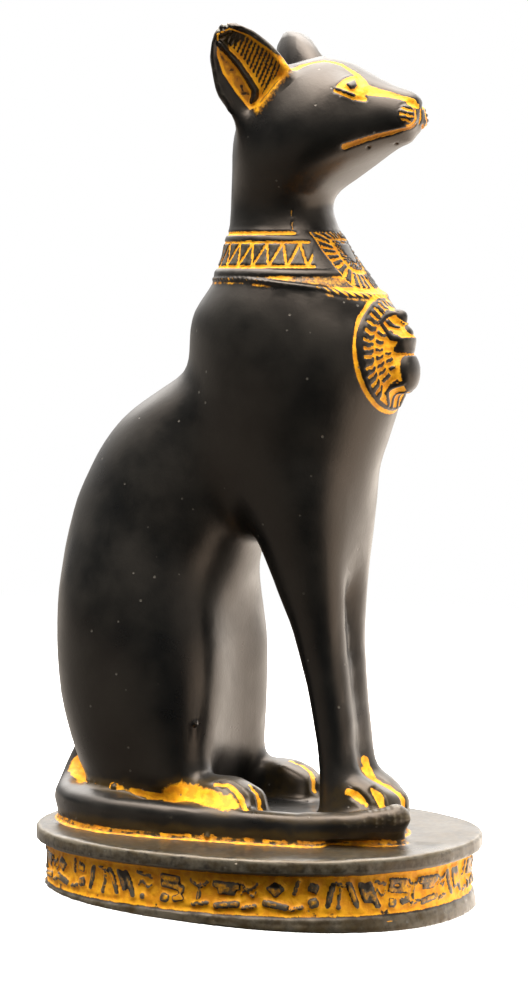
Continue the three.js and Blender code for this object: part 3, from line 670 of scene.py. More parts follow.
@dataclass
class BroadCollar:
    """Collar in low relief: lines, a zigzag, a cord round its edge and a feathered bib in front."""

    axis_x: float = 11.0
    radius: float = 17.5
    top: float = 166.3
    thin_line: float = 163.7
    low_line: float = 156.8
    tooth: float = 5.0
    lean_of_tooth: float = 1.2
    line_half: float = 0.55
    band_low: float = 154.2
    band_end: float = -0.71
    groove_depth: float = 0.5
    field_wear: float = 0.5
    edge_top: float = 152.2
    edge_start: float = 8.0
    edge_slope: float = 0.115
    band_rise: float = 0.35
    gutter_depth: float = 0.3
    cord_half: float = 1.1
    cord_rise: float = 0.55
    cord_pitch: float = 1.5
    cord_lift: float = 1.1
    bib_half_top: float = 9.6
    bib_spread: float = -0.04
    bib_foot: float = 150.4
    bib_start: float = 14.0
    bib_groove: float = 0.55
    row: float = 4.3
    inner_row: float = 1.55
    bare_from: float = 1.45
    feather_hub: float = 160.5
    feather_radius: float = 9.5
    feather_pitch: float = 2.05

    def edge_height(self, skin: Skin) -> Array:
        """Height of the collar's lower edge at each point's place from back to front."""
        return self.edge_top - self.edge_slope * np.clip(skin.points[:, 0] - self.edge_start, 0, 60)

    def bib_depth(self, skin: Skin) -> Array:
        """Measures where the bib is.

        Args:
            skin: the casting's skin.

        Returns:
            How far inside the bib each point lies, negative outside it.
        """
        x, y, z = skin.points.T
        side = self.bib_half_top + (self.top - z) * self.bib_spread - np.abs(y)
        foot = (z - self.bib_foot) * 0.9
        depth = -np.logaddexp(-side * 0.7, -foot * 0.7) / 0.7
        depth = np.minimum(depth, (self.top + 0.4 - z) * 2)
        return np.where(x > self.bib_start, depth, -9.0)

    def carve(self, skin: Skin) -> None:
        """Carves and paints the collar.

        Args:
            skin: the casting's skin.
        """
        x, y, z = skin.points.T
        near = between(z, 143, 170, 1) * ramp(np.hypot(x - self.axis_x, y), 36, 34)
        angle = np.arctan2(np.abs(y), x - self.axis_x)
        run = -angle * self.radius
        bib = self.bib_depth(skin)
        end = self.band_end * self.radius
        sides = near * ramp(run, end + 1.0, end - 0.2) * ramp(bib, -0.6, -1.4)

        grooves = ridge(z - self.top, self.line_half * 1.5) * near * ramp(run, end - 2, end - 5)
        for level, share in ((self.thin_line, 1.0), (self.low_line, 1.2)):
            grooves = np.maximum(grooves, ridge(z - level, self.line_half * share) * sides)
        place = np.mod(run, self.tooth)
        high, low = self.thin_line, self.low_line
        for shift in (-self.tooth, 0, self.tooth):
            steep = flat_distance(place, z, (shift, high), (shift + self.lean_of_tooth, low))
            slant = flat_distance(place, z, (shift + self.lean_of_tooth, low), (shift + self.tooth, high))
            grooves = np.maximum(grooves, ridge(np.minimum(steep, slant), self.line_half) * sides)
        skin.raise_by(-self.groove_depth * grooves)
        skin.paint(Mask.OCHRE, ramp(grooves, 0.15, 0.6))

        fields = between(z, self.low_line + 0.6, self.thin_line - 0.6, 0.4) * sides
        skin.paint(Mask.WEAR_AND_HIGHLIGHT, self.field_wear * fields * (1 - ramp(grooves, 0.1, 0.4)))
        self.hem(skin, near, run, bib)
        self.feathered_bib(skin, near, bib)

    def hem(self, skin: Skin, near: Array, run: Array, bib: Array) -> None:
        """Makes the plain band, the painted gutter under it, and the twisted cord along the collar's edge.

        Args:
            skin: the casting's skin.
            near: 1 round the neck and 0 elsewhere.
            run: place round the neck.
            bib: how far inside the bib each point lies.
        """
        x, _, z = skin.points.T
        edge = self.edge_height(skin) + self.cord_lift * ramp(x, 38, 29)
        front = ramp(x, 20, 30)
        loose = 0.5 + 0.5 * skin.noise(2.4, seed=8)
        band = between(z, self.band_low, self.low_line - 1.0, 0.8) * near * ramp(bib, 0.2, -0.6)
        skin.raise_by(self.band_rise * band)
        gutter = between(z, edge + 0.9, self.band_low, 0.7) * near * ramp(bib, 0.6, -0.2)
        skin.raise_by(-self.gutter_depth * gutter * (0.6 + 0.4 * loose))
        skin.paint(Mask.OCHRE, gutter * (0.3 + 0.45 * loose - 0.14 * front))
        cord = ridge(z - edge, self.cord_half) * near
        twist = comb((run + (z - edge)) / self.cord_pitch)
        notch = 0.45 * (1 - twist) * (1 - 0.7 * between(x, 17, 31, 3))
        skin.raise_by(self.cord_rise * cord * (1 - notch))
        skin.wipe(Mask.OCHRE, ramp(cord, 0.3, 0.7) * ramp(x, 32, 24))
        under = ridge(z - edge + 1.2, 0.9) * near
        skin.paint(Mask.OCHRE, under * (0.2 + 0.5 * loose) * (1 - 0.7 * between(x, 19, 30, 2)))
        strength = (0.3 + 0.4 * loose + 0.4 * ramp(x, 30, 34)) * ramp(np.abs(x - 24), 4, 8)
        skin.paint(Mask.OCHRE, cord * (1 - twist) * strength)
        apron = near * ramp(x, 24, 30) * ramp(bib, 0.4, -0.3)
        apron *= between(z, edge - 0.4, self.bib_foot + 0.6, 0.6)
        skin.paint(Mask.OCHRE, apron * (1 - 0.9 * cord * twist) * (0.5 + 0.3 * loose + 0.3 * ramp(x, 32, 36)))

    def feathered_bib(self, skin: Skin, near: Array, bib: Array) -> None:
        """Cuts the bib's rows of petals.

        Args:
            skin: the casting's skin.
            near: 1 round the neck and 0 elsewhere.
            bib: how far inside the bib each point lies.
        """
        _, y, z = skin.points.T
        inside = ramp(bib, -0.2, 0.3) * near
        turn = np.arctan2(z - self.feather_hub, np.abs(y)) * self.feather_radius
        rims = np.maximum(ridge(bib, 0.6), ridge(bib - self.row, 0.75))
        outer = comb(turn / self.feather_pitch)
        grooves = np.maximum(rims, ramp(outer, 0.5, 0.85) * between(bib, 0.5, self.row - 0.3, 0.5))
        inner = comb((turn + 1.3 * bib) / self.feather_pitch)
        rows = between(bib, self.row + 0.4, self.inner_row * self.row, 0.5)
        grooves = np.maximum(grooves, ramp(inner, 0.6, 0.9) * rows)
        bare = ramp(bib, self.bare_from * self.row, (self.bare_from + 0.15) * self.row)
        skin.bare = np.maximum(skin.bare, inside * bare)
        grooves = np.clip(grooves, 0, 1) * inside
        skin.raise_by(-self.bib_groove * grooves)
        skin.wipe(Mask.OCHRE, inside)
        skin.paint(Mask.OCHRE, ramp(grooves, 0.25, 0.6) * inside)


@dataclass
class ChestPendant:
    """Round pendant on the chest: a margin, arcs of feathers on a painted ground and a bare beetle."""

    middle: float = 131.9
    half_height: float = 16.0
    half_width: float = 14.9
    margin: float = 0.94
    rows: tuple[float, ...] = (0.94, 0.69, 0.48, 0.3)
    feathers: tuple[int, ...] = (32, 26, 20)
    slant: float = 0.45
    ground_depth: float = 0.45
    feather_rise: float = 0.6
    rim_place: float = 1.03
    rim_depth: float = 0.25
    rim_halves: Outline = ((-16, 0.85), (-4, 0.6), (6, 0.36), (14, 0.8))
    head: Spot = (11.2, 3.3, 2.7)
    neck: Spot = (7.2, 2.6, 1.9)
    case: Spot = (-4.6, 4.2, 5.2)
    legs: tuple[Outline, ...] = (((2.6, 12.2), (6.4, 9.4), (4.9, 4.6)),
                                 ((4.0, -8.0), (6.0, -10.6), (3.6, -14.0)), ((1.6, -10.6), (1.6, -14.6)))
    leg_half: float = 0.95
    beetle_rise: float = 0.6

    def carve(self, skin: Skin) -> None:
        """Carves and paints the pendant.

        Args:
            skin: the casting's skin.
        """
        x, y, z = skin.points.T
        side, rise = np.abs(y), z - self.middle
        reach = np.hypot(rise / self.half_height, y / self.half_width)
        front = ramp(x, 30, 34) * ramp(reach, 1.25, 1.15)
        turn = np.arctan2(side, rise)
        ground = ramp(reach, self.margin + 0.02, self.margin - 0.02) * front
        skin.raise_by(-self.ground_depth * ground)
        skin.paint(Mask.OCHRE, ground)
        skew = 0.16 * skin.noise(2.8, seed=12)

        feather = np.zeros(skin.count)
        for outer, inner, count in zip(self.rows[:-1], self.rows[1:], self.feathers):
            middle = (outer + inner) / 2
            sweep = (outer - reach) / (outer - inner)
            phase = turn * count / (2 * math.pi) + self.slant * (sweep + np.abs(sweep - 0.5)) + skew
            row = between(reach, inner + 0.035, outer, 0.04)
            if count == self.feathers[-1]:
                row *= ramp(rise, 4, -1)
            share = 0.12 if count == self.feathers[0] else 0.42
            feather = np.maximum(feather, row * ramp(comb(phase), share, share + 0.3))
        beetle = self.beetle(side, rise) * front
        feather *= front * ramp(beetle, 0.08, 0.0) * (1 - ramp(side, 8.0, 7.0) * ramp(rise, -8.0, -9.5))
        skin.raise_by(self.feather_rise * feather)
        skin.wipe(Mask.OCHRE, feather)
        skin.raise_by(self.beetle_rise * np.sqrt(beetle))
        skin.wipe(Mask.OCHRE, ramp(beetle, 0.05, 0.3))
        skin.bare = np.maximum(skin.bare, ramp(beetle, 0.05, 0.25))
        width = np.interp(rise, *zip(*self.rim_halves))
        rim = ridge((reach - self.rim_place) * self.half_width, width) * front
        skin.raise_by(-self.rim_depth * rim)
        skin.paint(Mask.OCHRE, rim * 0.95)

    def beetle(self, side: Array, rise: Array) -> Array:
        """Shape of the beetle: head, neck and wing case are ovals, each a height and two half sizes.

        Args:
            side: distance from the pendant's upright middle line.
            rise: height over its middle.

        Returns:
            Its profile, from 0 outside to 1 on its middle.
        """
        head, neck, case = (np.hypot(side / half, (rise - middle) / tall)
                            for middle, half, tall in (self.head, self.neck, self.case))
        block = between(side, -9, 4.5, 0.8) * between(rise, 0.9, 4.9, 0.8)
        shell = ramp(ridge(case, 1.6), 0.1, 0.55) * ramp(np.abs(rise - 0.2), 0.1, 0.5)
        legs = [0.75 * ridge(path_distance(side, rise, leg), self.leg_half) for leg in self.legs]
        return np.maximum.reduce([ridge(head, 1.0), ridge(neck, 1.0), block, shell, *legs])


@dataclass
class PawsAndTail:
    """Toes parted by painted grooves, paint along the tail, a rubbed tail tip and lumps from the mould."""

    toe_grooves: tuple[Route, ...] = (
        ((1.4, -25.0, 9.4), (4.0, -22.6, 9.6), (7.2, -23.0, 7.9), (9.6, -23.6, 5.6), (12.0, -25.9, 3.0)),
        ((9.2, -18.3, 9.0), (11.6, -18.0, 6.9), (12.9, -18.8, 2.6)),
        ((3.1, 17.1, 10.8), (6.1, 18.9, 10.0), (9.5, 18.1, 8.4), (11.8, 15.8, 6.2), (12.4, 14.9, 3.4)),
        ((8.8, 23.5, 8.2), (11.8, 22.6, 5.6), (13.0, 22.0, 2.6)),
        ((37.2, -12.0, 8.2), (39.5, -11.5, 7.5), (42.6, -12.0, 5.8), (45.6, -13.4, 3.0)),
        ((41.5, -7.6, 8.6), (45.1, -7.9, 6.8), (48.6, -9.2, 3.0)),
        ((37.0, 0.6, 11.3), (41.5, 0.4, 9.7), (44.6, 1.0, 8.4), (47.4, 1.2, 6.6), (49.4, 1.0, 3.0)),
        ((40.4, 7.2, 9.4), (44.6, 7.4, 7.2), (48.2, 7.6, 3.0)),
    )
    groove_half: float = 1.15
    groove_depth: float = 1.0
    front_paw_spread: float = 1.45
    front_paw_from: float = 30.0
    lumps: Route = ((-31.5, -26.1, 6.3), (2.6, -31.4, -4.4), (-8.0, -21.0, 26.0))
    lump_half: float = 1.5
    lump_rise: float = 0.9
    tail_line: Route = ((-51.7, -10.5, 4.6), (-44.0, -19.5, 5.4), (-37.6, -24.0, 6.0), (-29.9, -25.6, 6.0),
                        (-21.2, -24.3, 4.7), (-12.0, -23.6, 3.8), (0.0, -25.5, 3.8), (8.5, -27.2, 3.6))
    rump_fill: Route = ((-56.5, -9.0, 9.5), (-52.2, -10.8, 4.8), (-47.0, -15.5, 4.8))
    pool: Route = ((-14.0, -24.0, 5.4), (-6.0, -24.6, 6.0), (1.0, -26.2, 4.8), (7.0, -27.2, 3.8))
    leg_line: Route = ((35.7, 1.6, 15.4), (36.8, 1.8, 12.6), (38.0, 1.0, 11.0))
    elbow: Route = ((7.3, -20.6, 97.0), (3.7, -16.9, 88.9), (-0.5, -12.5, 80.5))
    chest: Route = ((36.2, -9.5, 97.0), (34.5, -11.8, 90.0), (33.3, -12.6, 84.5))
    smears: tuple[Smear, ...] = (
        Smear(tail_line, Mask.GRIME_AND_SHADE, 4.5, 1.5),
        Smear(rump_fill, Mask.OCHRE, 3.4, 1.6, 0.8, 0.85),
        Smear(pool, Mask.OCHRE, 4.6, 1.2, 0.9),
        Smear(pool, Mask.GRIME_AND_SHADE, 6.0, 3.0),
        Smear(leg_line, Mask.OCHRE, 1.9, 0.9, 0.6, 0.85),
        Smear(elbow, Mask.GRIME_AND_SHADE, 5.0, 2.0, 1.5, 0.8, mirrored=True),
        Smear(elbow, Mask.OCHRE, 2.6, 0.8, 1.5, 0.5, mirrored=True),
        Smear(chest, Mask.GRIME_AND_SHADE, 5.0, 2.0, 1.5, 0.8, mirrored=True),
        Smear(chest, Mask.OCHRE, 2.6, 0.8, 1.5, 0.5, mirrored=True))
    step_middle: float = 1.4
    step_reach: Flat = (20, 24)
    wall_foot: float = -5.55
    slab_top: Flat = (-6.8, -5.7)
    tail_tip: Spot = (48.5, -12.5, 2.0)
    tip_reach: Flat = (10, 5)
    hatch_pitch: float = 2.6
    hatch_depth: float = 0.05

    def carve(self, skin: Skin) -> None:
        """Parts the toes and lays on the paint that sits in fixed places.

        Args:
            skin: the casting's skin.
        """
        x, y, z = skin.points.T
        loose = 0.6 * skin.noise(2.2, seed=15) + 0.6 * skin.noise(1.0, seed=16)
        for route in self.toe_grooves:
            distance, along = skin.route_distance(route, mirrored=False)
            skin.raise_by(-self.groove_depth * ridge(distance, self.groove_half * 2.0) * ramp(along, 0, 0.2))
            front = route[0][0] > self.front_paw_from
            reach = self.groove_half * (self.front_paw_spread if front else 1.0)
            painted = ramp(distance + 0.35 * loose, reach, reach * 0.5)
            skin.paint(Mask.OCHRE, painted * np.interp(along, (0, 0.3, 1), (0.72, 1, 1)))
        for lump in self.lumps:
            gap = np.linalg.norm(skin.points - np.array(lump), axis=1)
            skin.raise_by(self.lump_rise * ridge(gap, self.lump_half))

        distance, along = skin.route_distance(self.tail_line, mirrored=False)
        thinned = np.interp(along, (0, 0.5, 1), (1, 0.85, 1))
        skin.paint(Mask.OCHRE, ramp(distance + 0.5 * loose, 1.7, 0.7) * thinned)
        for smear in self.smears:
            smear.lay(skin, loose)
        self.soil_and_shade_step(skin, loose)
        tip = ramp(np.linalg.norm(skin.points - np.array(self.tail_tip), axis=1), *self.tip_reach)
        hatch = np.cos(self.hatch_pitch * (x + z)) * np.cos(self.hatch_pitch * (y - z))
        skin.raise_by(self.hatch_depth * hatch * tip)
        skin.paint(Mask.WEAR_AND_HIGHLIGHT, 0.3 * tip * ramp(hatch, 0.1, 0.6))

    def soil_and_shade_step(self, skin: Skin, loose: Array) -> None:
        """Leaves paint and brown residue where the step's wall meets the slab, on the slab and between the
        paws; the brown on the wall is partly painted shadow under the tail, and the slab's lighter top partly
        a painted top light.

        Args:
            skin: the casting's skin.
            loose: noise for the edges.
        """
        x, y, z = skin.points.T
        wall = ramp(np.hypot(x - self.step_middle, y), *self.step_reach)
        foot = between(z, self.wall_foot, -4.2, 0.3) * wall
        skin.paint(Mask.OCHRE, foot * (0.42 + 0.3 * loose + 0.08 * ramp(x, 0, -40)))
        skin.paint(Mask.STAIN, between(z, -7.0, -3.5, 0.5) * wall * (0.5 + 0.3 * loose))
        # Brown up the step's wall: residue, and painted shadow under the tail.
        skin.paint(Mask.GRIME_AND_SHADE, between(z, self.wall_foot, -1.5, 1.0) * wall * (0.75 + 0.3 * loose))
        slab = between(z, *self.slab_top, 0.3) * wall
        # Lighter slab top: rubbed stone, and a painted top light.
        skin.paint(Mask.WEAR_AND_HIGHLIGHT, slab * (0.36 + 0.18 * loose))
        skin.paint(Mask.GRIME_AND_SHADE, slab * (0.42 + 0.35 * loose))
        skin.paint(Mask.GRIME_AND_SHADE, 0.45 * between(z, 0.4, 11, 1.0) * ramp(x, -6, -2) * between(y, -29, 24, 1.0))


@dataclass
class SignBand:
    """Band of raised signs that aren't letters, bare on a painted ground."""

    half_length: float = 66.55
    half_width: float = 52.8
    power: float = 2.25
    middle_x: float = 1.35
    foot: float = -22.4
    top: float = -10.4
    inset: float = 3.0
    hollow: float = 0.8
    groups: int = 28
    bar: tuple[Flat, Flat, float] = ((-1.9, 3.6), (1.9, 2.6), 1.0)
    reed: tuple[Flat, Flat, float] = ((-0.4, 0.6), (0.7, 4.2), 1.1)
    dash: tuple[Flat, Flat, float] = ((-1.7, -3.9), (1.8, -3.2), 1.0)
    post: tuple[Flat, Flat, float] = ((-0.5, -2.2), (0.2, 1.8), 1.0)
    mark_rise: float = 0.75
    rim_low: float = -6.9
    erosion_reach: float = 12.0
    erosion_depth: float = 0.5

    def angle(self, x: Array, y: Array) -> Array:
        """Measures the place round the oval outline.

        Args:
            x: place of the points lengthwise from the plinth's middle.
            y: place of the points sideways.

        Returns:
            Angles of the outline's own parameter.
        """
        c = np.sign(x) * (np.abs(x) / self.half_length) ** (self.power / 2)
        s = np.sign(y) * (np.abs(y) / self.half_width) ** (self.power / 2)
        return np.arctan2(s, c)

    def carve(self, skin: Skin) -> None:
        """Adds small marks between the signs and paints the ground.

        Args:
            skin: the casting's skin.
        """
        x, y, z = skin.points.T
        x = x - self.middle_x
        turn = np.arctan2(y, x)
        rim = ((np.abs(np.cos(turn)) / self.half_length) ** self.power
               + (np.abs(np.sin(turn)) / self.half_width) ** self.power) ** (-1 / self.power)
        height = self.top - self.foot
        stand = self.inset + self.hollow * np.sin(math.pi * np.clip((z - self.foot) / height, 0, 1))
        proud = np.hypot(x, y) - rim + stand
        band = between(z, self.foot + 0.2, self.top - 0.2, 0.8) * ramp(proud, -2.5, -1.5)
        marks = self.small_marks(x, y, z) * band * ramp(proud, 0.7, 0.2)
        skin.raise_by(self.mark_rise * marks)
        skin.paint(Mask.OCHRE, band * ramp(proud, 0.6, 0.4))
        skin.wipe(Mask.OCHRE, ramp(marks, 0.35, 0.65))
        self.wear_down_and_highlight(skin, band, proud, marks)

    def small_marks(self, x: Array, y: Array, z: Array) -> Array:
        """Shapes of the small marks, of which five groups take turns between the large signs.

        Args:
            x: place of the points lengthwise from the plinth's middle.
            y: place of the points sideways.
            z: their height.

        Returns:
            Their profile, from 0 outside to 1 on a mark's middle.
        """
        place = self.angle(x, y) * self.groups / (2 * math.pi)
        step = 2 * math.pi * math.sqrt((self.half_length**2 + self.half_width**2) / 2) / self.groups
        middle = np.floor(place) + 0.5
        along = (place - middle) * step
        up = z - (self.foot + self.top) / 2
        kind = np.mod(middle * 7 + 3, 5).astype(int)
        bar, reed, dash, post = (ridge(flat_distance(along, up, start, end), half)
                                 for start, end, half in (self.bar, self.reed, self.dash, self.post))
        dot = ridge(np.hypot(along + 0.6, up + 3.2), 1.5)
        bow = ridge(np.hypot(along, up - 3.9) - 2.4, 0.9) * ramp(up, 3.6, 3.0)
        wave = ridge(up + 0.9 * np.sin(along * 1.7) - 0.2, 0.9) * between(along, -2.3, 2.3, 0.6)
        groups = ((bar, wave, dot), (reed, dash), (bow, post, dash), (bar, post, dot), (bow, wave, dash))
        return np.choose(kind, [np.maximum.reduce(shapes) for shapes in groups])

    def wear_down_and_highlight(self, skin: Skin, band: Array, proud: Array, marks: Array) -> None:
        """Rubs the tops of the signs and the plinth's rims, paints a highlight along the rim's upper half,
        chips the paint and erodes the rear end.

        Args:
            skin: the casting's skin.
            band: 1 on the band of signs and 0 elsewhere.
            proud: how far each point stands out from the band's ground.
            marks: profile of the small marks.
        """
        x, z = skin.points[:, 0] - self.middle_x, skin.points[:, 2]
        tops = band * np.maximum(ramp(proud, 0.7, 0.86), ramp(marks, 0.75, 0.95))
        smudge = 0.5 + 0.5 * skin.noise(2.4, seed=31)
        skin.paint(Mask.OCHRE, tops * (0.26 + 0.42 * smudge))
        skin.paint(Mask.GRIME_AND_SHADE, 0.45 * tops)
        skin.paint(Mask.WEAR_AND_HIGHLIGHT, 0.85 * tops)
        # The rim is made lighter, partly as rubbed stone and partly as a painted highlight, which is stronger
        # on its upper half.
        edge = between(z, self.top - 0.6, self.rim_low, 0.6) * ramp(proud, 1.0, 2.0)
        edge *= 0.72 + 0.28 * ramp(z, -9.4, -7.6)
        rims = np.maximum(edge, ramp(z, self.foot + 0.1, self.foot - 0.5))
        cloud = skin.noise(3.0, seed=33)
        skin.paint(Mask.WEAR_AND_HIGHLIGHT, rims * (0.55 + 0.2 * cloud))
        skin.paint(Mask.GRIME_AND_SHADE, rims * (0.45 - 0.2 * cloud))
        chipped = ramp(skin.noise(1.8, seed=21), 0.45, 0.65) * band * ridge(z - self.foot - 0.8, 1.3)
        skin.wipe(Mask.OCHRE, chipped * 0.9)
        eroded = np.exp(-(((x + self.half_length) / self.erosion_reach) ** 2)) * band
        skin.raise_by(-self.erosion_depth * eroded * (0.5 + 0.5 * skin.noise(2.0, seed=22)))
        skin.wipe(Mask.OCHRE, eroded * ramp(skin.noise(1.6, seed=23), 0.1, 0.35) * 0.8)


@dataclass
class CastFlaws:
    """What casting and handling left: a crack, soft dents, a wavy foot and nicks in the plinth's rim."""

    crack: CutLine = CutLine(
        ((18.6, -11.0, 173.4), (18.2, -10.8, 171.6), (19.2, -11.2, 170.4), (18.8, -11.4, 168.9),
         (19.3, -11.8, 167.4)), 0.3, ((0, 0.5), (1, 0.5)), ((0, 0.56), (1, 0.56)), (0.2, 0.6), mirrored=False)
    dents: float = 0.12
    dent_size: float = 9.0
    foot_wave: float = 0.35
    rim_nicks: float = 0.25

    def carve(self, skin: Skin) -> None:
        """Roughens the casting a little.

        Args:
            skin: the casting's skin.
        """
        self.crack.cut(skin)
        skin.raise_by(self.dents * skin.noise(self.dent_size, seed=1))
        z = skin.points[:, 2]
        foot = between(z, -24.6, -21.0, 1.0)
        skin.raise_by(-self.foot_wave * foot * (0.5 + 0.5 * skin.noise(3.0, seed=2)))
        rim = between(z, -11.0, -6.6, 1.0) * ramp(np.abs(z + 8.4), 1.2, 2.2)
        skin.raise_by(-self.rim_nicks * rim * np.clip(skin.noise(2.2, seed=6), 0, 1))


# ---------------------------------------------------------------- finishes


class Nodes:
    """Short hand for building a node tree."""

    def __init__(self, tree: bpy.types.NodeTree) -> None:
        """Keeps the tree.

        Args:
            tree: a material's or a group's node tree.
        """
        self.tree = tree

    def add(self, kind: str, inputs: dict | None = None, **settings: object) -> bpy.types.Node:
        """Adds one node.

        Args:
            kind: the node's type name.
            inputs: values or sockets for its inputs, by name or number.
            settings: other properties of the node.

        Returns:
            The node.
        """
        node = self.tree.nodes.new(kind)
        for name, value in settings.items():
            setattr(node, name, value)
        self.feed(node, inputs or {})
        return node

    def feed(self, node: bpy.types.Node, inputs: dict) -> None:
        """Links sockets to a node's inputs and sets its other inputs to values.

        Args:
            node: the node.
            inputs: values or sockets, by an input's name or number.
        """
        for name, value in inputs.items():
            if isinstance(value, bpy.types.NodeSocket):
                self.tree.links.new(value, node.inputs[name])
            else:
                node.inputs[name].default_value = value

    def math(self, operation: str, *values: object) -> bpy.types.NodeSocket:
        """Adds a Math node and gives its output."""
        return self.add("ShaderNodeMath", dict(enumerate(values)), operation=operation).outputs[0]

    def noise(self, place: object, size: object, detail: float, rough: float) -> bpy.types.NodeSocket:
        """Adds a Noise texture and gives its value."""
        inputs = {"Vector": place, "Scale": size, "Detail": detail, "Roughness": rough}
        return self.add("ShaderNodeTexNoise", inputs).outputs["Fac"]

    def step(self, value: object, low: object, high: object) -> bpy.types.NodeSocket:
        """Adds a soft step from 0 at low to 1 at high."""
        inputs = {"Value": value, "From Min": low, "From Max": high}
        return self.add("ShaderNodeMapRange", inputs, interpolation_type="SMOOTHSTEP").outputs["Result"]

    def mix(self, share: object, first: object, second: object) -> bpy.types.NodeSocket:
        """Mixes two colours and gives the result."""
        return self.add("ShaderNodeMix", {0: share, 6: first, 7: second}, data_type="RGBA").outputs[2]

    def attribute(self, mask: Mask) -> bpy.types.NodeSocket:
        """Reads one of the skin's masks."""
        return self.add("ShaderNodeAttribute", attribute_name=mask.value).outputs["Fac"]


def new_group(name: str, inputs: dict[str, float], outputs: dict[str, str]) -> tuple[Nodes, object, object]:
    """Starts a shader node group.

    Args:
        name: the group's name.
        inputs: its number inputs and their values; "Place" is a vector input in every group.
        outputs: its outputs and their socket types.

    Returns:
        The node builder, the group's input node and its output node.
    """
    tree = bpy.data.node_groups.new(name, "ShaderNodeTree")
    tree.interface.new_socket("Place", in_out="INPUT", socket_type="NodeSocketVector")
    for label, value in inputs.items():
        socket = tree.interface.new_socket(label, in_out="INPUT", socket_type="NodeSocketFloat")
        socket.default_value = value
    for label, kind in outputs.items():
        tree.interface.new_socket(label, in_out="OUTPUT", socket_type=kind)
    build = Nodes(tree)
    return build, build.add("NodeGroupInput"), build.add("NodeGroupOutput")


def broken_edge_group() -> bpy.types.NodeTree:
    """Builds the group that breaks up a mask's edge, for paint, stains, rubbed edges with painted highlight,
    brown residue with painted shade, and chips.

    Returns:
        The group.
    """
    build, into, out = new_group("Broken edge", {"Amount": 0.0, "Grain": 900.0, "Break": 0.5, "Soft": 0.1},
                                 {"Mask": "NodeSocketFloat"})
    noise = build.noise(into.outputs["Place"], into.outputs["Grain"], 3.0, 0.6)
    swing = build.math("MULTIPLY", build.math("SUBTRACT", noise, 0.5), into.outputs["Break"])
    level = build.math("ADD", into.outputs["Amount"], swing)
    low = build.math("SUBTRACT", 0.5, into.outputs["Soft"])
    high = build.math("ADD", 0.5, into.outputs["Soft"])
    build.tree.links.new(build.step(level, low, high), out.inputs["Mask"])
    return build.tree


def cast_surface_group() -> bpy.types.NodeTree:
    """Builds the group for the mottling, fine grain and pinholes of a cast, polished surface.

    Returns:
        The group.
    """
    build, into, out = new_group("Cast surface", {"Mottle": 60.0, "Grain": 900.0, "Pinholes": 330.0},
                                 dict.fromkeys(("Tone", "Pin", "Relief"), "NodeSocketFloat"))
    place = into.outputs["Place"]
    cloud = build.noise(place, into.outputs["Mottle"], 4.0, 0.55)
    grain = build.noise(place, into.outputs["Grain"], 2.0, 0.7)
    cells = build.add("ShaderNodeTexVoronoi", {"Vector": place, "Scale": into.outputs["Pinholes"]})
    lot = build.add("ShaderNodeSeparateColor", {0: cells.outputs["Color"]}).outputs[0]
    chosen = build.step(lot, 0.86, 0.9)
    pin = build.math("MULTIPLY", build.step(cells.outputs["Distance"], 0.16, 0.08), chosen)
    relief = build.math("SUBTRACT", build.math("MULTIPLY", grain, 0.35), pin)
    build.tree.links.new(build.step(cloud, 0.3, 0.7), out.inputs["Tone"])
    build.tree.links.new(pin, out.inputs["Pin"])
    build.tree.links.new(relief, out.inputs["Relief"])
    return build.tree


@dataclass(frozen=True)
class EdgeBreak:
    """How a mask's edge is broken up: grain of the noise, how far it swings, and how soft the edge is."""

    grain: float
    swing: float
    soft: float


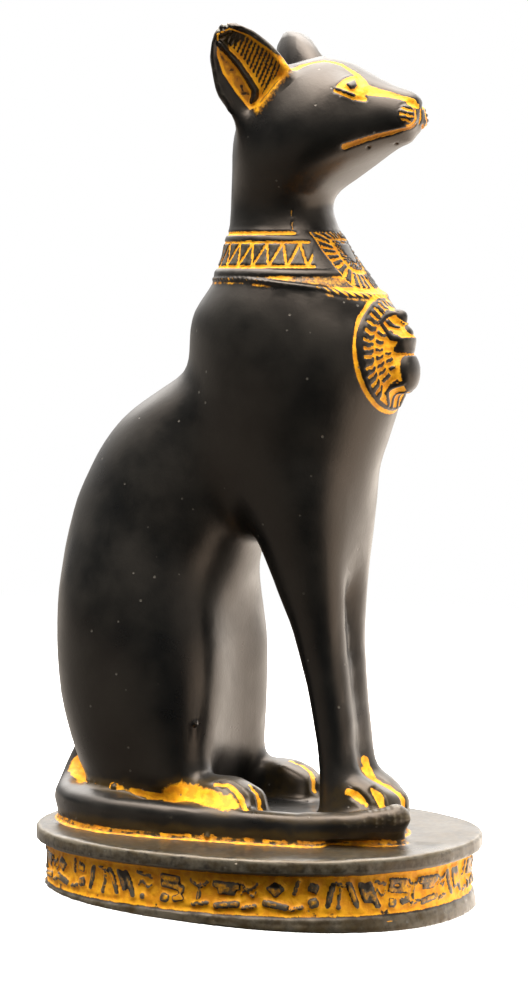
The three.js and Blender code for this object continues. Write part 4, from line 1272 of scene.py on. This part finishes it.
@dataclass(frozen=True)
class PaintedStone:
    """Near-black satin cast stone with ochre paint left in its carving."""

    dark: Colour = (0.0045, 0.005, 0.0052, 1)
    lighter: Colour = (0.011, 0.0108, 0.0098, 1)
    # Lighter grey-brown of rubbed stone, also used for the painted highlight on the plinth's rim and slab
    # top.
    worn_and_highlit: Colour = (0.15, 0.13, 0.095, 1)
    # Brown of residue, also used as painted shade in recesses and on the step's wall.
    grime_and_shade: Colour = (0.05, 0.031, 0.008, 1)
    ochre: Colour = (0.90, 0.41, 0.008, 1)
    deep_ochre: Colour = (0.72, 0.27, 0.005, 1)
    stained: Colour = (0.42, 0.15, 0.006, 1)
    speck: Colour = (0.10, 0.095, 0.08, 1)
    chalk: Colour = (0.55, 0.53, 0.46, 1)
    sheen: Colour = (1.0, 0.82, 0.68, 1)
    specular: float = 0.45
    refraction: float = 1.5
    roughness: Flat = (0.27, 0.4)
    paint_roughness: float = 0.6
    bump: float = 0.35
    bump_reach: float = 0.00025
    worn_and_highlit_share: float = 0.6
    grime_and_shade_share: float = 0.75
    speck_share: float = 0.7
    clots: float = 420.0
    paint_edge: EdgeBreak = EdgeBreak(1100.0, 0.55, 0.17)
    worn_and_highlit_edge: EdgeBreak = EdgeBreak(700.0, 0.9, 0.3)
    grime_and_shade_edge: EdgeBreak = EdgeBreak(320.0, 0.8, 0.35)
    chalk_edge: EdgeBreak = EdgeBreak(1400.0, 0.9, 0.12)
    stain_edge: EdgeBreak = EdgeBreak(500.0, 0.7, 0.3)

    def make(self, edge: bpy.types.NodeTree, surface: bpy.types.NodeTree) -> bpy.types.Material:
        """Builds the material.

        Args:
            edge: the group that breaks up a mask's edge.
            surface: the group for the cast surface.

        Returns:
            The material.
        """
        material = bpy.data.materials.new("Painted cast stone")
        material.use_nodes = True
        material.node_tree.nodes.clear()
        build = Nodes(material.node_tree)
        place = build.add("ShaderNodeTexCoord").outputs["Object"]
        cast = build.add("ShaderNodeGroup", {"Place": place}, node_tree=surface)

        def broken(mask: Mask, look: EdgeBreak) -> bpy.types.NodeSocket:
            """Reads a mask with a broken edge."""
            inputs = {"Place": place, "Amount": build.attribute(mask),
                      "Grain": look.grain, "Break": look.swing, "Soft": look.soft}
            return build.add("ShaderNodeGroup", inputs, node_tree=edge).outputs["Mask"]

        paint = broken(Mask.OCHRE, self.paint_edge)
        chalk = broken(Mask.CHALK, self.chalk_edge)
        thick = build.step(build.noise(place, self.clots, 3.0, 0.5), 0.35, 0.62)
        colour = build.mix(cast.outputs["Tone"], self.dark, self.lighter)
        # Rubbed lighter stone, together with the painted highlight on the plinth's rim and slab top.
        worn_and_highlit = build.math("MULTIPLY", broken(Mask.WEAR_AND_HIGHLIGHT, self.worn_and_highlit_edge), self.worn_and_highlit_share)
        colour = build.mix(worn_and_highlit, colour, self.worn_and_highlit)
        # Brown residue, which is also painted shade in recesses.
        grime_and_shade = build.math("MULTIPLY", broken(Mask.GRIME_AND_SHADE, self.grime_and_shade_edge), self.grime_and_shade_share)
        colour = build.mix(grime_and_shade, colour, self.grime_and_shade)
        pigment = build.mix(thick, self.deep_ochre, self.ochre)
        pigment = build.mix(broken(Mask.STAIN, self.stain_edge), pigment, self.stained)
        colour = build.mix(paint, colour, pigment)
        colour = build.mix(chalk, colour, self.chalk)
        colour = build.mix(build.math("MULTIPLY", cast.outputs["Pin"], self.speck_share), colour, self.speck)
        low, high = self.roughness
        limits = {"Value": cast.outputs["Tone"], "To Min": low, "To Max": high}
        satin = build.add("ShaderNodeMapRange", limits).outputs["Result"]
        matt = build.math("MAXIMUM", paint, chalk)
        rough = build.add("ShaderNodeMix", {0: matt, 2: satin, 3: self.paint_roughness},
                          data_type="FLOAT").outputs[0]
        height = build.math("ADD", cast.outputs["Relief"], build.math("MULTIPLY", paint, thick))
        bump = build.add("ShaderNodeBump", {"Strength": self.bump, "Distance": self.bump_reach,
                                            "Height": height})
        shader = build.add("ShaderNodeBsdfPrincipled", {
            "Base Color": colour, "Roughness": rough, "Normal": bump.outputs["Normal"],
            "IOR": self.refraction, "Specular IOR Level": self.specular, "Specular Tint": self.sheen})
        output = build.add("ShaderNodeOutputMaterial")
        build.tree.links.new(shader.outputs[0], output.inputs["Surface"])
        return material


# ---------------------------------------------------------------- the casting


def only(piece: bpy.types.Object) -> None:
    """Makes one object the only selected and the active one.

    Args:
        piece: the object.
    """
    if bpy.context.object and bpy.context.object.mode != "OBJECT":
        bpy.ops.object.mode_set(mode="OBJECT")
    bpy.ops.object.select_all(action="DESELECT")
    piece.select_set(True)
    bpy.context.view_layer.objects.active = piece


def apply_modifier(piece: bpy.types.Object, kind: str, **settings: object) -> None:
    """Adds a modifier and applies it.

    Args:
        piece: the object.
        kind: the modifier's type.
        settings: its properties.
    """
    modifier = piece.modifiers.new(kind.title(), kind)
    for name, value in settings.items():
        setattr(modifier, name, value)
    only(piece)
    bpy.ops.object.modifier_apply(modifier=modifier.name)


@dataclass
class Casting:
    """The whole statuette, cast in one piece with its step and plinth.

    The zones, from body to muzzle, say where its facets are smoothed, and the grains say how widely.
    """

    name: str = "cat_statuette"
    place: CastingFrame = field(default_factory=CastingFrame)
    grain: float = 0.5
    quick_grain: float = 0.85
    broad_grain: float = 2.0
    middle_grain: float = 1.4
    fine_grain: float = 0.9
    form_rounds: int = 90
    light_rounds: int = 5
    carved_rounds: int = 3
    fine_blur: float = 1.5
    broad_blur: float = 3.75
    triangles: int = 196000
    detail_share: float = 6e-7
    body: Zone = Zone((("z", 9, 22), ("z", 152, 146)))
    chest: Zone = Zone((("x", 27, 33), ("z", 108, 116), ("z", 158, 150)))
    legs: Zone = Zone((("x", 2, 8), ("z", 100, 84)))
    neck: Zone = Zone((("z", 168, 173), ("z", 192, 184)))
    skull: Zone = Zone((("z", 178, 186), ("x", -6, 0), ("x", 40, 30), ("z", 220, 216)))
    ear_shells: Zone = Zone((("z", 198, 206), ("side", 6.5, 9.5), ("x", 27, 20)))
    ear_feet: Zone = Zone((("z", 196, 203), ("side", 5.5, 8.5), ("x", 29, 22)))
    above_slab: Zone = Zone((("z", -6.6, -5.2),))
    paws_and_legs: Zone = Zone((("z", -4.6, -3.2), ("z", 112, 100)))
    muzzle: Zone = Zone((("z", 178, 186), ("x", 22, 28), ("x", 50, 44)))
    leg_share: float = 0.6
    eye_socket: Flat = (5.2, 3.6)
    wear_heights: Spot = (-6, 14, 30)
    fine_wear: Spot = (0.9, 0.4, 0.3)
    broad_wear: Spot = (0.8, 0.5, 0.3)
    ears: EarPair = field(default_factory=EarPair)
    face: Face = field(default_factory=Face)
    collar: BroadCollar = field(default_factory=BroadCollar)
    pendant: ChestPendant = field(default_factory=ChestPendant)
    paws: PawsAndTail = field(default_factory=PawsAndTail)
    signs: SignBand = field(default_factory=SignBand)
    flaws: CastFlaws = field(default_factory=CastFlaws)

    def copy_node(self, name: str) -> bpy.types.Object:
        """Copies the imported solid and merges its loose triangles.

        Args:
            name: name of the copy.

        Returns:
            The copy.
        """
        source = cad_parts[CAD_NODE]
        piece = bpy.data.objects.new(name, source.data.copy())
        piece.data.name = name
        bpy.context.scene.collection.objects.link(piece)
        only(piece)
        bpy.ops.object.mode_set(mode="EDIT")
        bpy.ops.mesh.select_all(action="SELECT")
        bpy.ops.mesh.remove_doubles(threshold=1e-6)
        bpy.ops.object.mode_set(mode="OBJECT")
        piece.data.materials.clear()
        return piece

    def plain(self, skin: Skin) -> Array:
        """How plain the casting is at each point: 1 on the body's broad curves, 0 on small forms.

        Args:
            skin: the casting's skin.

        Returns:
            Numbers from 0 to 1.
        """
        body = self.body.weight(skin) * (1 - self.chest.weight(skin))
        body *= 1 - self.leg_share * self.legs.weight(skin)
        skull = self.skull.weight(skin) * (1 - self.ear_shells.weight(skin))
        socket = ramp(self.face.distance(skin, self.face.eye), *self.eye_socket)
        return np.maximum.reduce((body, self.neck.weight(skin), skull, socket))

    def rounded(self, skin: Skin) -> Array:
        """Where facets are rounded off at middle size: all but the ears, the rims and the signs.

        Args:
            skin: the casting's skin.

        Returns:
            Numbers from 0 to 1.
        """
        return self.above_slab.weight(skin) * (1 - self.ear_feet.weight(skin))

    def softened(self, skin: Skin) -> Array:
        """Where facets are rounded off more widely: paws, tail, legs and the muzzle's back.

        Args:
            skin: the casting's skin.

        Returns:
            Numbers from 0 to 1.
        """
        return np.maximum(self.paws_and_legs.weight(skin), self.muzzle.weight(skin))

    def smooth_form(self, grain: float, rounds: int) -> bpy.types.Object:
        """A coarser copy without facets, smooth over about six times its grain.

        Args:
            grain: size of its mesh in millimetres.
            rounds: how long it is smoothed.

        Returns:
            The copy.
        """
        form = self.copy_node("smooth_form")
        apply_modifier(form, "REMESH", mode="VOXEL", voxel_size=grain * MM)
        skin = Skin(form.data, self.place)
        skin.smooth(np.ones(skin.count), rounds)
        skin.write()
        apply_modifier(form, "SUBSURF", levels=1, render_levels=1)
        return form

    def build(self) -> bpy.types.Object:
        """Makes the finished mesh with its masks.

        Returns:
            The statuette.
        """
        grain = self.grain
        piece = self.copy_node(self.name)
        apply_modifier(piece, "REMESH", mode="VOXEL", voxel_size=grain * MM)
        skin = Skin(piece.data, self.place)
        LOG.info("fine skin: %d points", skin.count)
        skin.smooth(np.ones(skin.count), self.light_rounds)
        skin.write()
        passes = ((self.rounded(skin), self.fine_grain), (self.softened(skin), self.middle_grain),
                  (self.plain(skin), self.broad_grain))
        for weight, size in passes:
            group = self.weigh(piece, "smooth", weight)
            form = self.smooth_form(size, self.form_rounds)
            apply_modifier(piece, "SHRINKWRAP", target=form, vertex_group=group,
                           wrap_method="NEAREST_SURFACEPOINT")
            bpy.data.objects.remove(form)
            piece.vertex_groups.clear()

        skin = Skin(piece.data, self.place)
        skin.smooth(np.ones(skin.count), self.carved_rounds)
        for part in (self.ears, self.face, self.collar, self.pendant, self.paws, self.signs, self.flaws):
            part.carve(skin)
            LOG.info("carved: %s", type(part).__name__)
        skin.press()
        skin.smooth(np.full(skin.count, 0.5), 1)
        self.leave_residue_and_shade(skin, grain)
        skin.write()
        for mask, values in skin.masks.items():
            layer = piece.data.attributes.new(mask.value, "FLOAT", "POINT")
            layer.data.foreach_set("value", np.clip(values, 0, 1.2).astype(np.float32))
        self.thin(piece, skin)
        self.keep_in_box(piece)
        return piece

    @staticmethod
    def keep_in_box(piece: bpy.types.Object) -> None:
        """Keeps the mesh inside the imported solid's box, with a flat underside.

        Args:
            piece: the statuette.
        """
        flat = np.empty(len(piece.data.vertices) * 3)
        piece.data.vertices.foreach_get("co", flat)
        low, high = (np.array(corner) for corner in CAD_BOX)
        piece.data.vertices.foreach_set("co", np.clip(flat.reshape(-1, 3), low, high).ravel())
        piece.data.update()

    @staticmethod
    def weigh(piece: bpy.types.Object, name: str, weight: Array, steps: int = 20) -> str:
        """Adds a vertex group, filled in steps of like weight, which is quick.

        Args:
            piece: the object.
            name: name for the group.
            weight: weight of each point, from 0 to 1.
            steps: number of steps.

        Returns:
            The group's name.
        """
        group = piece.vertex_groups.new(name=name)
        rounded = np.round(weight * steps).astype(int)
        for step in range(1, steps + 1):
            group.add(np.nonzero(rounded == step)[0].tolist(), step / steps, "REPLACE")
        return group.name

    def leave_residue_and_shade(self, skin: Skin, grain: float) -> None:
        """Leaves paint and brown residue in recesses, the brown standing for painted shade there as well, and
        rubs edges lighter, as wiping does.

        Args:
            skin: the casting's skin, already carved.
            grain: distance between its points.
        """
        normals = skin.normals()
        fine = ((skin.points - skin.blurred(round(self.fine_blur / grain))) * normals).sum(1)
        broad = ((skin.points - skin.blurred(round(self.broad_blur / grain**2))) * normals).sum(1)
        x, _, z = skin.points.T
        low = ramp(z, 16, 8)
        ornament = np.maximum(between(z, 112, 168, 2) * ramp(x, 28, 34), low) * (1 - skin.bare)
        skin.paint(Mask.OCHRE, ramp(-fine, 0.03, 0.09) * 0.75 * ornament)
        skin.paint(Mask.OCHRE, ramp(-broad, 0.12, 0.4) * 0.6 * low)
        skin.paint(Mask.OCHRE, ramp(-broad, 0.05, 0.25) * 0.75 * between(z, 0.5, 14, 2) * ramp(x, 28, 36))
        # Brown in the broad recesses: residue, and painted recess shade as well.
        skin.paint(Mask.GRIME_AND_SHADE, ramp(-broad, 0.08, 0.4) * 0.8)
        skin.paint(Mask.WEAR_AND_HIGHLIGHT, ramp(fine, 0.02, 0.1) * np.interp(z, self.wear_heights, self.fine_wear))
        skin.paint(Mask.WEAR_AND_HIGHLIGHT, ramp(broad, 0.1, 0.5) * np.interp(z, self.wear_heights, self.broad_wear))

    def thin(self, piece: bpy.types.Object, skin: Skin) -> None:
        """Thins the mesh to its limit of triangles, least where the paint has edges.

        Args:
            piece: the statuette.
            skin: its skin with the masks.
        """
        paint = np.stack([np.clip(skin.masks[mask], 0, 1) for mask in (Mask.OCHRE, Mask.WEAR_AND_HIGHLIGHT)], 1)
        change = np.abs(paint - skin.mean(paint)).max(1)[:, None]
        for _ in range(3):
            change = np.maximum(change, skin.mean(change) * 1.2)
        group = self.weigh(piece, "thin_first", 1 - ramp(change[:, 0], 0.01, 0.08))
        faces = sum(len(polygon.vertices) - 2 for polygon in piece.data.polygons)
        LOG.info("before thinning: %d triangles", faces)
        if faces > self.triangles:
            apply_modifier(piece, "DECIMATE", ratio=self.triangles / faces, use_collapse_triangulate=True,
                           vertex_group=group, vertex_group_factor=self.detail_share)
        piece.vertex_groups.clear()
        LOG.info("after thinning: %d triangles", len(piece.data.polygons))


# ---------------------------------------------------------------- floor, light and camera


@dataclass(frozen=True)
class SoftPanel:
    """A soft patch of light, in the surround or on the floor, seen in reflections only."""

    azimuth: float
    height: float
    core: float
    edge: float
    level: float

    def glow(self, build: Nodes, way: bpy.types.NodeSocket, turn: float) -> bpy.types.NodeSocket:
        """Adds the panel's light to a node tree.

        Args:
            build: node builder of the surround or of the floor.
            way: unit direction to look up.
            turn: the camera's azimuth in degrees, from which the panel's own is counted.

        Returns:
            Its light in that direction.
        """
        spin, rise = math.radians(turn + self.azimuth), math.radians(self.height)
        axis = (math.sin(spin) * math.cos(rise), -math.cos(spin) * math.cos(rise), math.sin(rise))
        aim = build.add("ShaderNodeVectorMath", {0: way, 1: axis}, operation="DOT_PRODUCT").outputs["Value"]
        shape = build.step(aim, math.cos(math.radians(self.edge)), math.cos(math.radians(self.core)))
        return build.math("MULTIPLY", shape, self.level)


@dataclass
class Studio:
    """Pale floor that fades into a white surround, soft panels, and the camera at the photograph's angle.

    focal_px, horizon_rise and axis_shift are measured in the photograph's pixels.
    """

    floor_radius: float = 6.0
    floor_corners: int = 96
    fade: Flat = (0.18, 0.75)
    white: float = 1.0
    paper: Colour = (0.84, 0.84, 0.84, 1)
    paper_roughness: float = 0.75
    warmth: Colour = (1.0, 0.975, 0.94, 1)
    floor_warmth: Colour = (1.0, 0.9, 0.79, 1)
    panels: tuple[SoftPanel, ...] = (
        SoftPanel(180, 45, 15, 45, 3.5), SoftPanel(180, 85, 15, 45, 9.5), SoftPanel(180, 0, 20, 50, 0.5),
        SoftPanel(135, 10, 15, 45, 2.0), SoftPanel(85, 10, 15, 50, 0.4), SoftPanel(40, 15, 12, 40, 0.4),
        SoftPanel(-135, 50, 15, 45, 1.5), SoftPanel(-125, 10, 15, 45, 0.15), SoftPanel(-25, 50, 12, 40, 0.6),
        SoftPanel(-75, 62, 14, 30, 4.2), SoftPanel(5, 68, 14, 30, 4.2))
    floor_panels: tuple[SoftPanel, ...] = (SoftPanel(100, 0, 30, 80, 3.1), SoftPanel(180, 0, 30, 80, 0.7),
                                           SoftPanel(-90, 0, 30, 80, 0.4))
    camera_place: Spot = (443.4, -811.6, 192.2)
    camera_turn: float = 29.0
    focal_length: float = 115.2
    sensor: float = 36.0
    focal_px: float = 3200.0
    horizon_rise: float = 220.0
    axis_shift: float = 10.0
    lean: float = CastingFrame.lean
    clip: Flat = (0.05, 20)

    def floor(self) -> bpy.types.Object:
        """Adds the floor: paper near the object, plain white for the camera farther out.

        Returns:
            The floor.
        """
        bpy.ops.mesh.primitive_circle_add(vertices=self.floor_corners, radius=self.floor_radius,
                                          fill_type="NGON")
        floor = bpy.context.object
        floor.name = "studio_floor"
        material = bpy.data.materials.new("Pale paper")
        material.use_nodes = True
        build = Nodes(material.node_tree)
        paper = material.node_tree.nodes["Principled BSDF"]
        build.feed(paper, {"Base Color": self.paper, "Roughness": self.paper_roughness})
        place = build.add("ShaderNodeTexCoord").outputs["Object"]
        reach = build.add("ShaderNodeVectorMath", {0: place}, operation="LENGTH").outputs["Value"]
        white = build.add("ShaderNodeEmission", {"Color": WHITE, "Strength": self.white})
        share = build.step(reach, *self.fade)
        mixed = build.add("ShaderNodeMixShader", {0: share, 1: paper.outputs[0], 2: white.outputs[0]})
        way = build.add("ShaderNodeVectorMath", {0: place}, operation="NORMALIZE").outputs[0]
        light = self.shine(build, self.floor_panels, way)
        glow = build.add("ShaderNodeEmission", {"Color": self.floor_warmth, "Strength": light})
        seen = build.add("ShaderNodeLightPath").outputs["Is Camera Ray"]
        shown = build.add("ShaderNodeMixShader", {0: seen, 1: glow.outputs[0], 2: mixed.outputs[0]})
        build.tree.links.new(shown.outputs[0], material.node_tree.nodes["Material Output"].inputs["Surface"])
        floor.data.materials.append(material)
        return floor

    def shine(self, build: Nodes, panels: tuple[SoftPanel, ...], way: object) -> bpy.types.NodeSocket:
        """Adds up panels.

        Args:
            build: node builder.
            panels: what shines.
            way: unit direction to look up.

        Returns:
            Their light in that direction.
        """
        total = panels[0].glow(build, way, self.camera_turn)
        for panel in panels[1:]:
            total = build.math("ADD", total, panel.glow(build, way, self.camera_turn))
        return total

    def room(self) -> None:
        """Makes the surround: white for the camera, soft panels of light for the object."""
        world = bpy.data.worlds.new("studio_room")
        world.use_nodes = True
        world.node_tree.nodes.clear()
        build = Nodes(world.node_tree)
        way = build.add("ShaderNodeTexCoord").outputs["Generated"]
        seen = build.add("ShaderNodeLightPath").outputs["Is Camera Ray"]
        light = self.shine(build, self.panels, way)
        level = build.add("ShaderNodeMix", {0: seen, 2: light, 3: self.white}, data_type="FLOAT").outputs[0]
        tone = build.mix(seen, self.warmth, WHITE)
        shade = build.add("ShaderNodeBackground", {"Color": tone, "Strength": level})
        out = build.add("ShaderNodeOutputWorld")
        build.tree.links.new(shade.outputs[0], out.inputs["Surface"])
        bpy.context.scene.world = world

    def camera(self) -> None:
        """Adds the camera where the photograph was taken from."""
        turn = math.radians(self.camera_turn) - math.atan(self.axis_shift / self.focal_px)
        drop = math.atan(self.horizon_rise / self.focal_px)
        level = Vector((-math.sin(turn), math.cos(turn), 0))
        look = level * math.cos(drop) - Vector((0, 0, math.sin(drop)))
        right = level.cross(Vector((0, 0, 1)))
        tip = Matrix.Rotation(-math.radians(self.lean), 3, "Y")
        look, right = tip @ look, tip @ right
        over = right.cross(look)
        data = bpy.data.cameras.new("photograph_view")
        data.lens, data.sensor_width, data.sensor_fit = self.focal_length, self.sensor, "AUTO"
        data.clip_start, data.clip_end = self.clip
        camera = bpy.data.objects.new("photograph_view", data)
        rows = Matrix((right, over, -look)).transposed()
        camera.matrix_world = Matrix.Translation(Vector(self.camera_place) * MM) @ rows.to_4x4()
        bpy.context.scene.collection.objects.link(camera)
        bpy.context.scene.camera = camera

    def build(self) -> None:
        """Adds the floor, the surround and the camera."""
        self.floor()
        self.room()
        self.camera()
        bpy.context.scene.view_settings.view_transform = "Standard"


def main() -> None:
    """Builds the statuette, dresses it, and sets the studio up round it."""
    logging.basicConfig(level=logging.INFO, format="%(name)s: %(message)s")
    bpy.ops.object.select_all(action="DESELECT")
    piece = Casting().build()
    piece.data.materials.append(PaintedStone().make(broken_edge_group(), cast_surface_group()))
    only(piece)
    bpy.ops.object.shade_smooth()
    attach(piece, "root")
    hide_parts(CAD_NODE)
    LOG.info("built: %s", piece.name)
    Studio().build()
    LOG.info("built: studio")


if __name__ == "__main__":
    main()
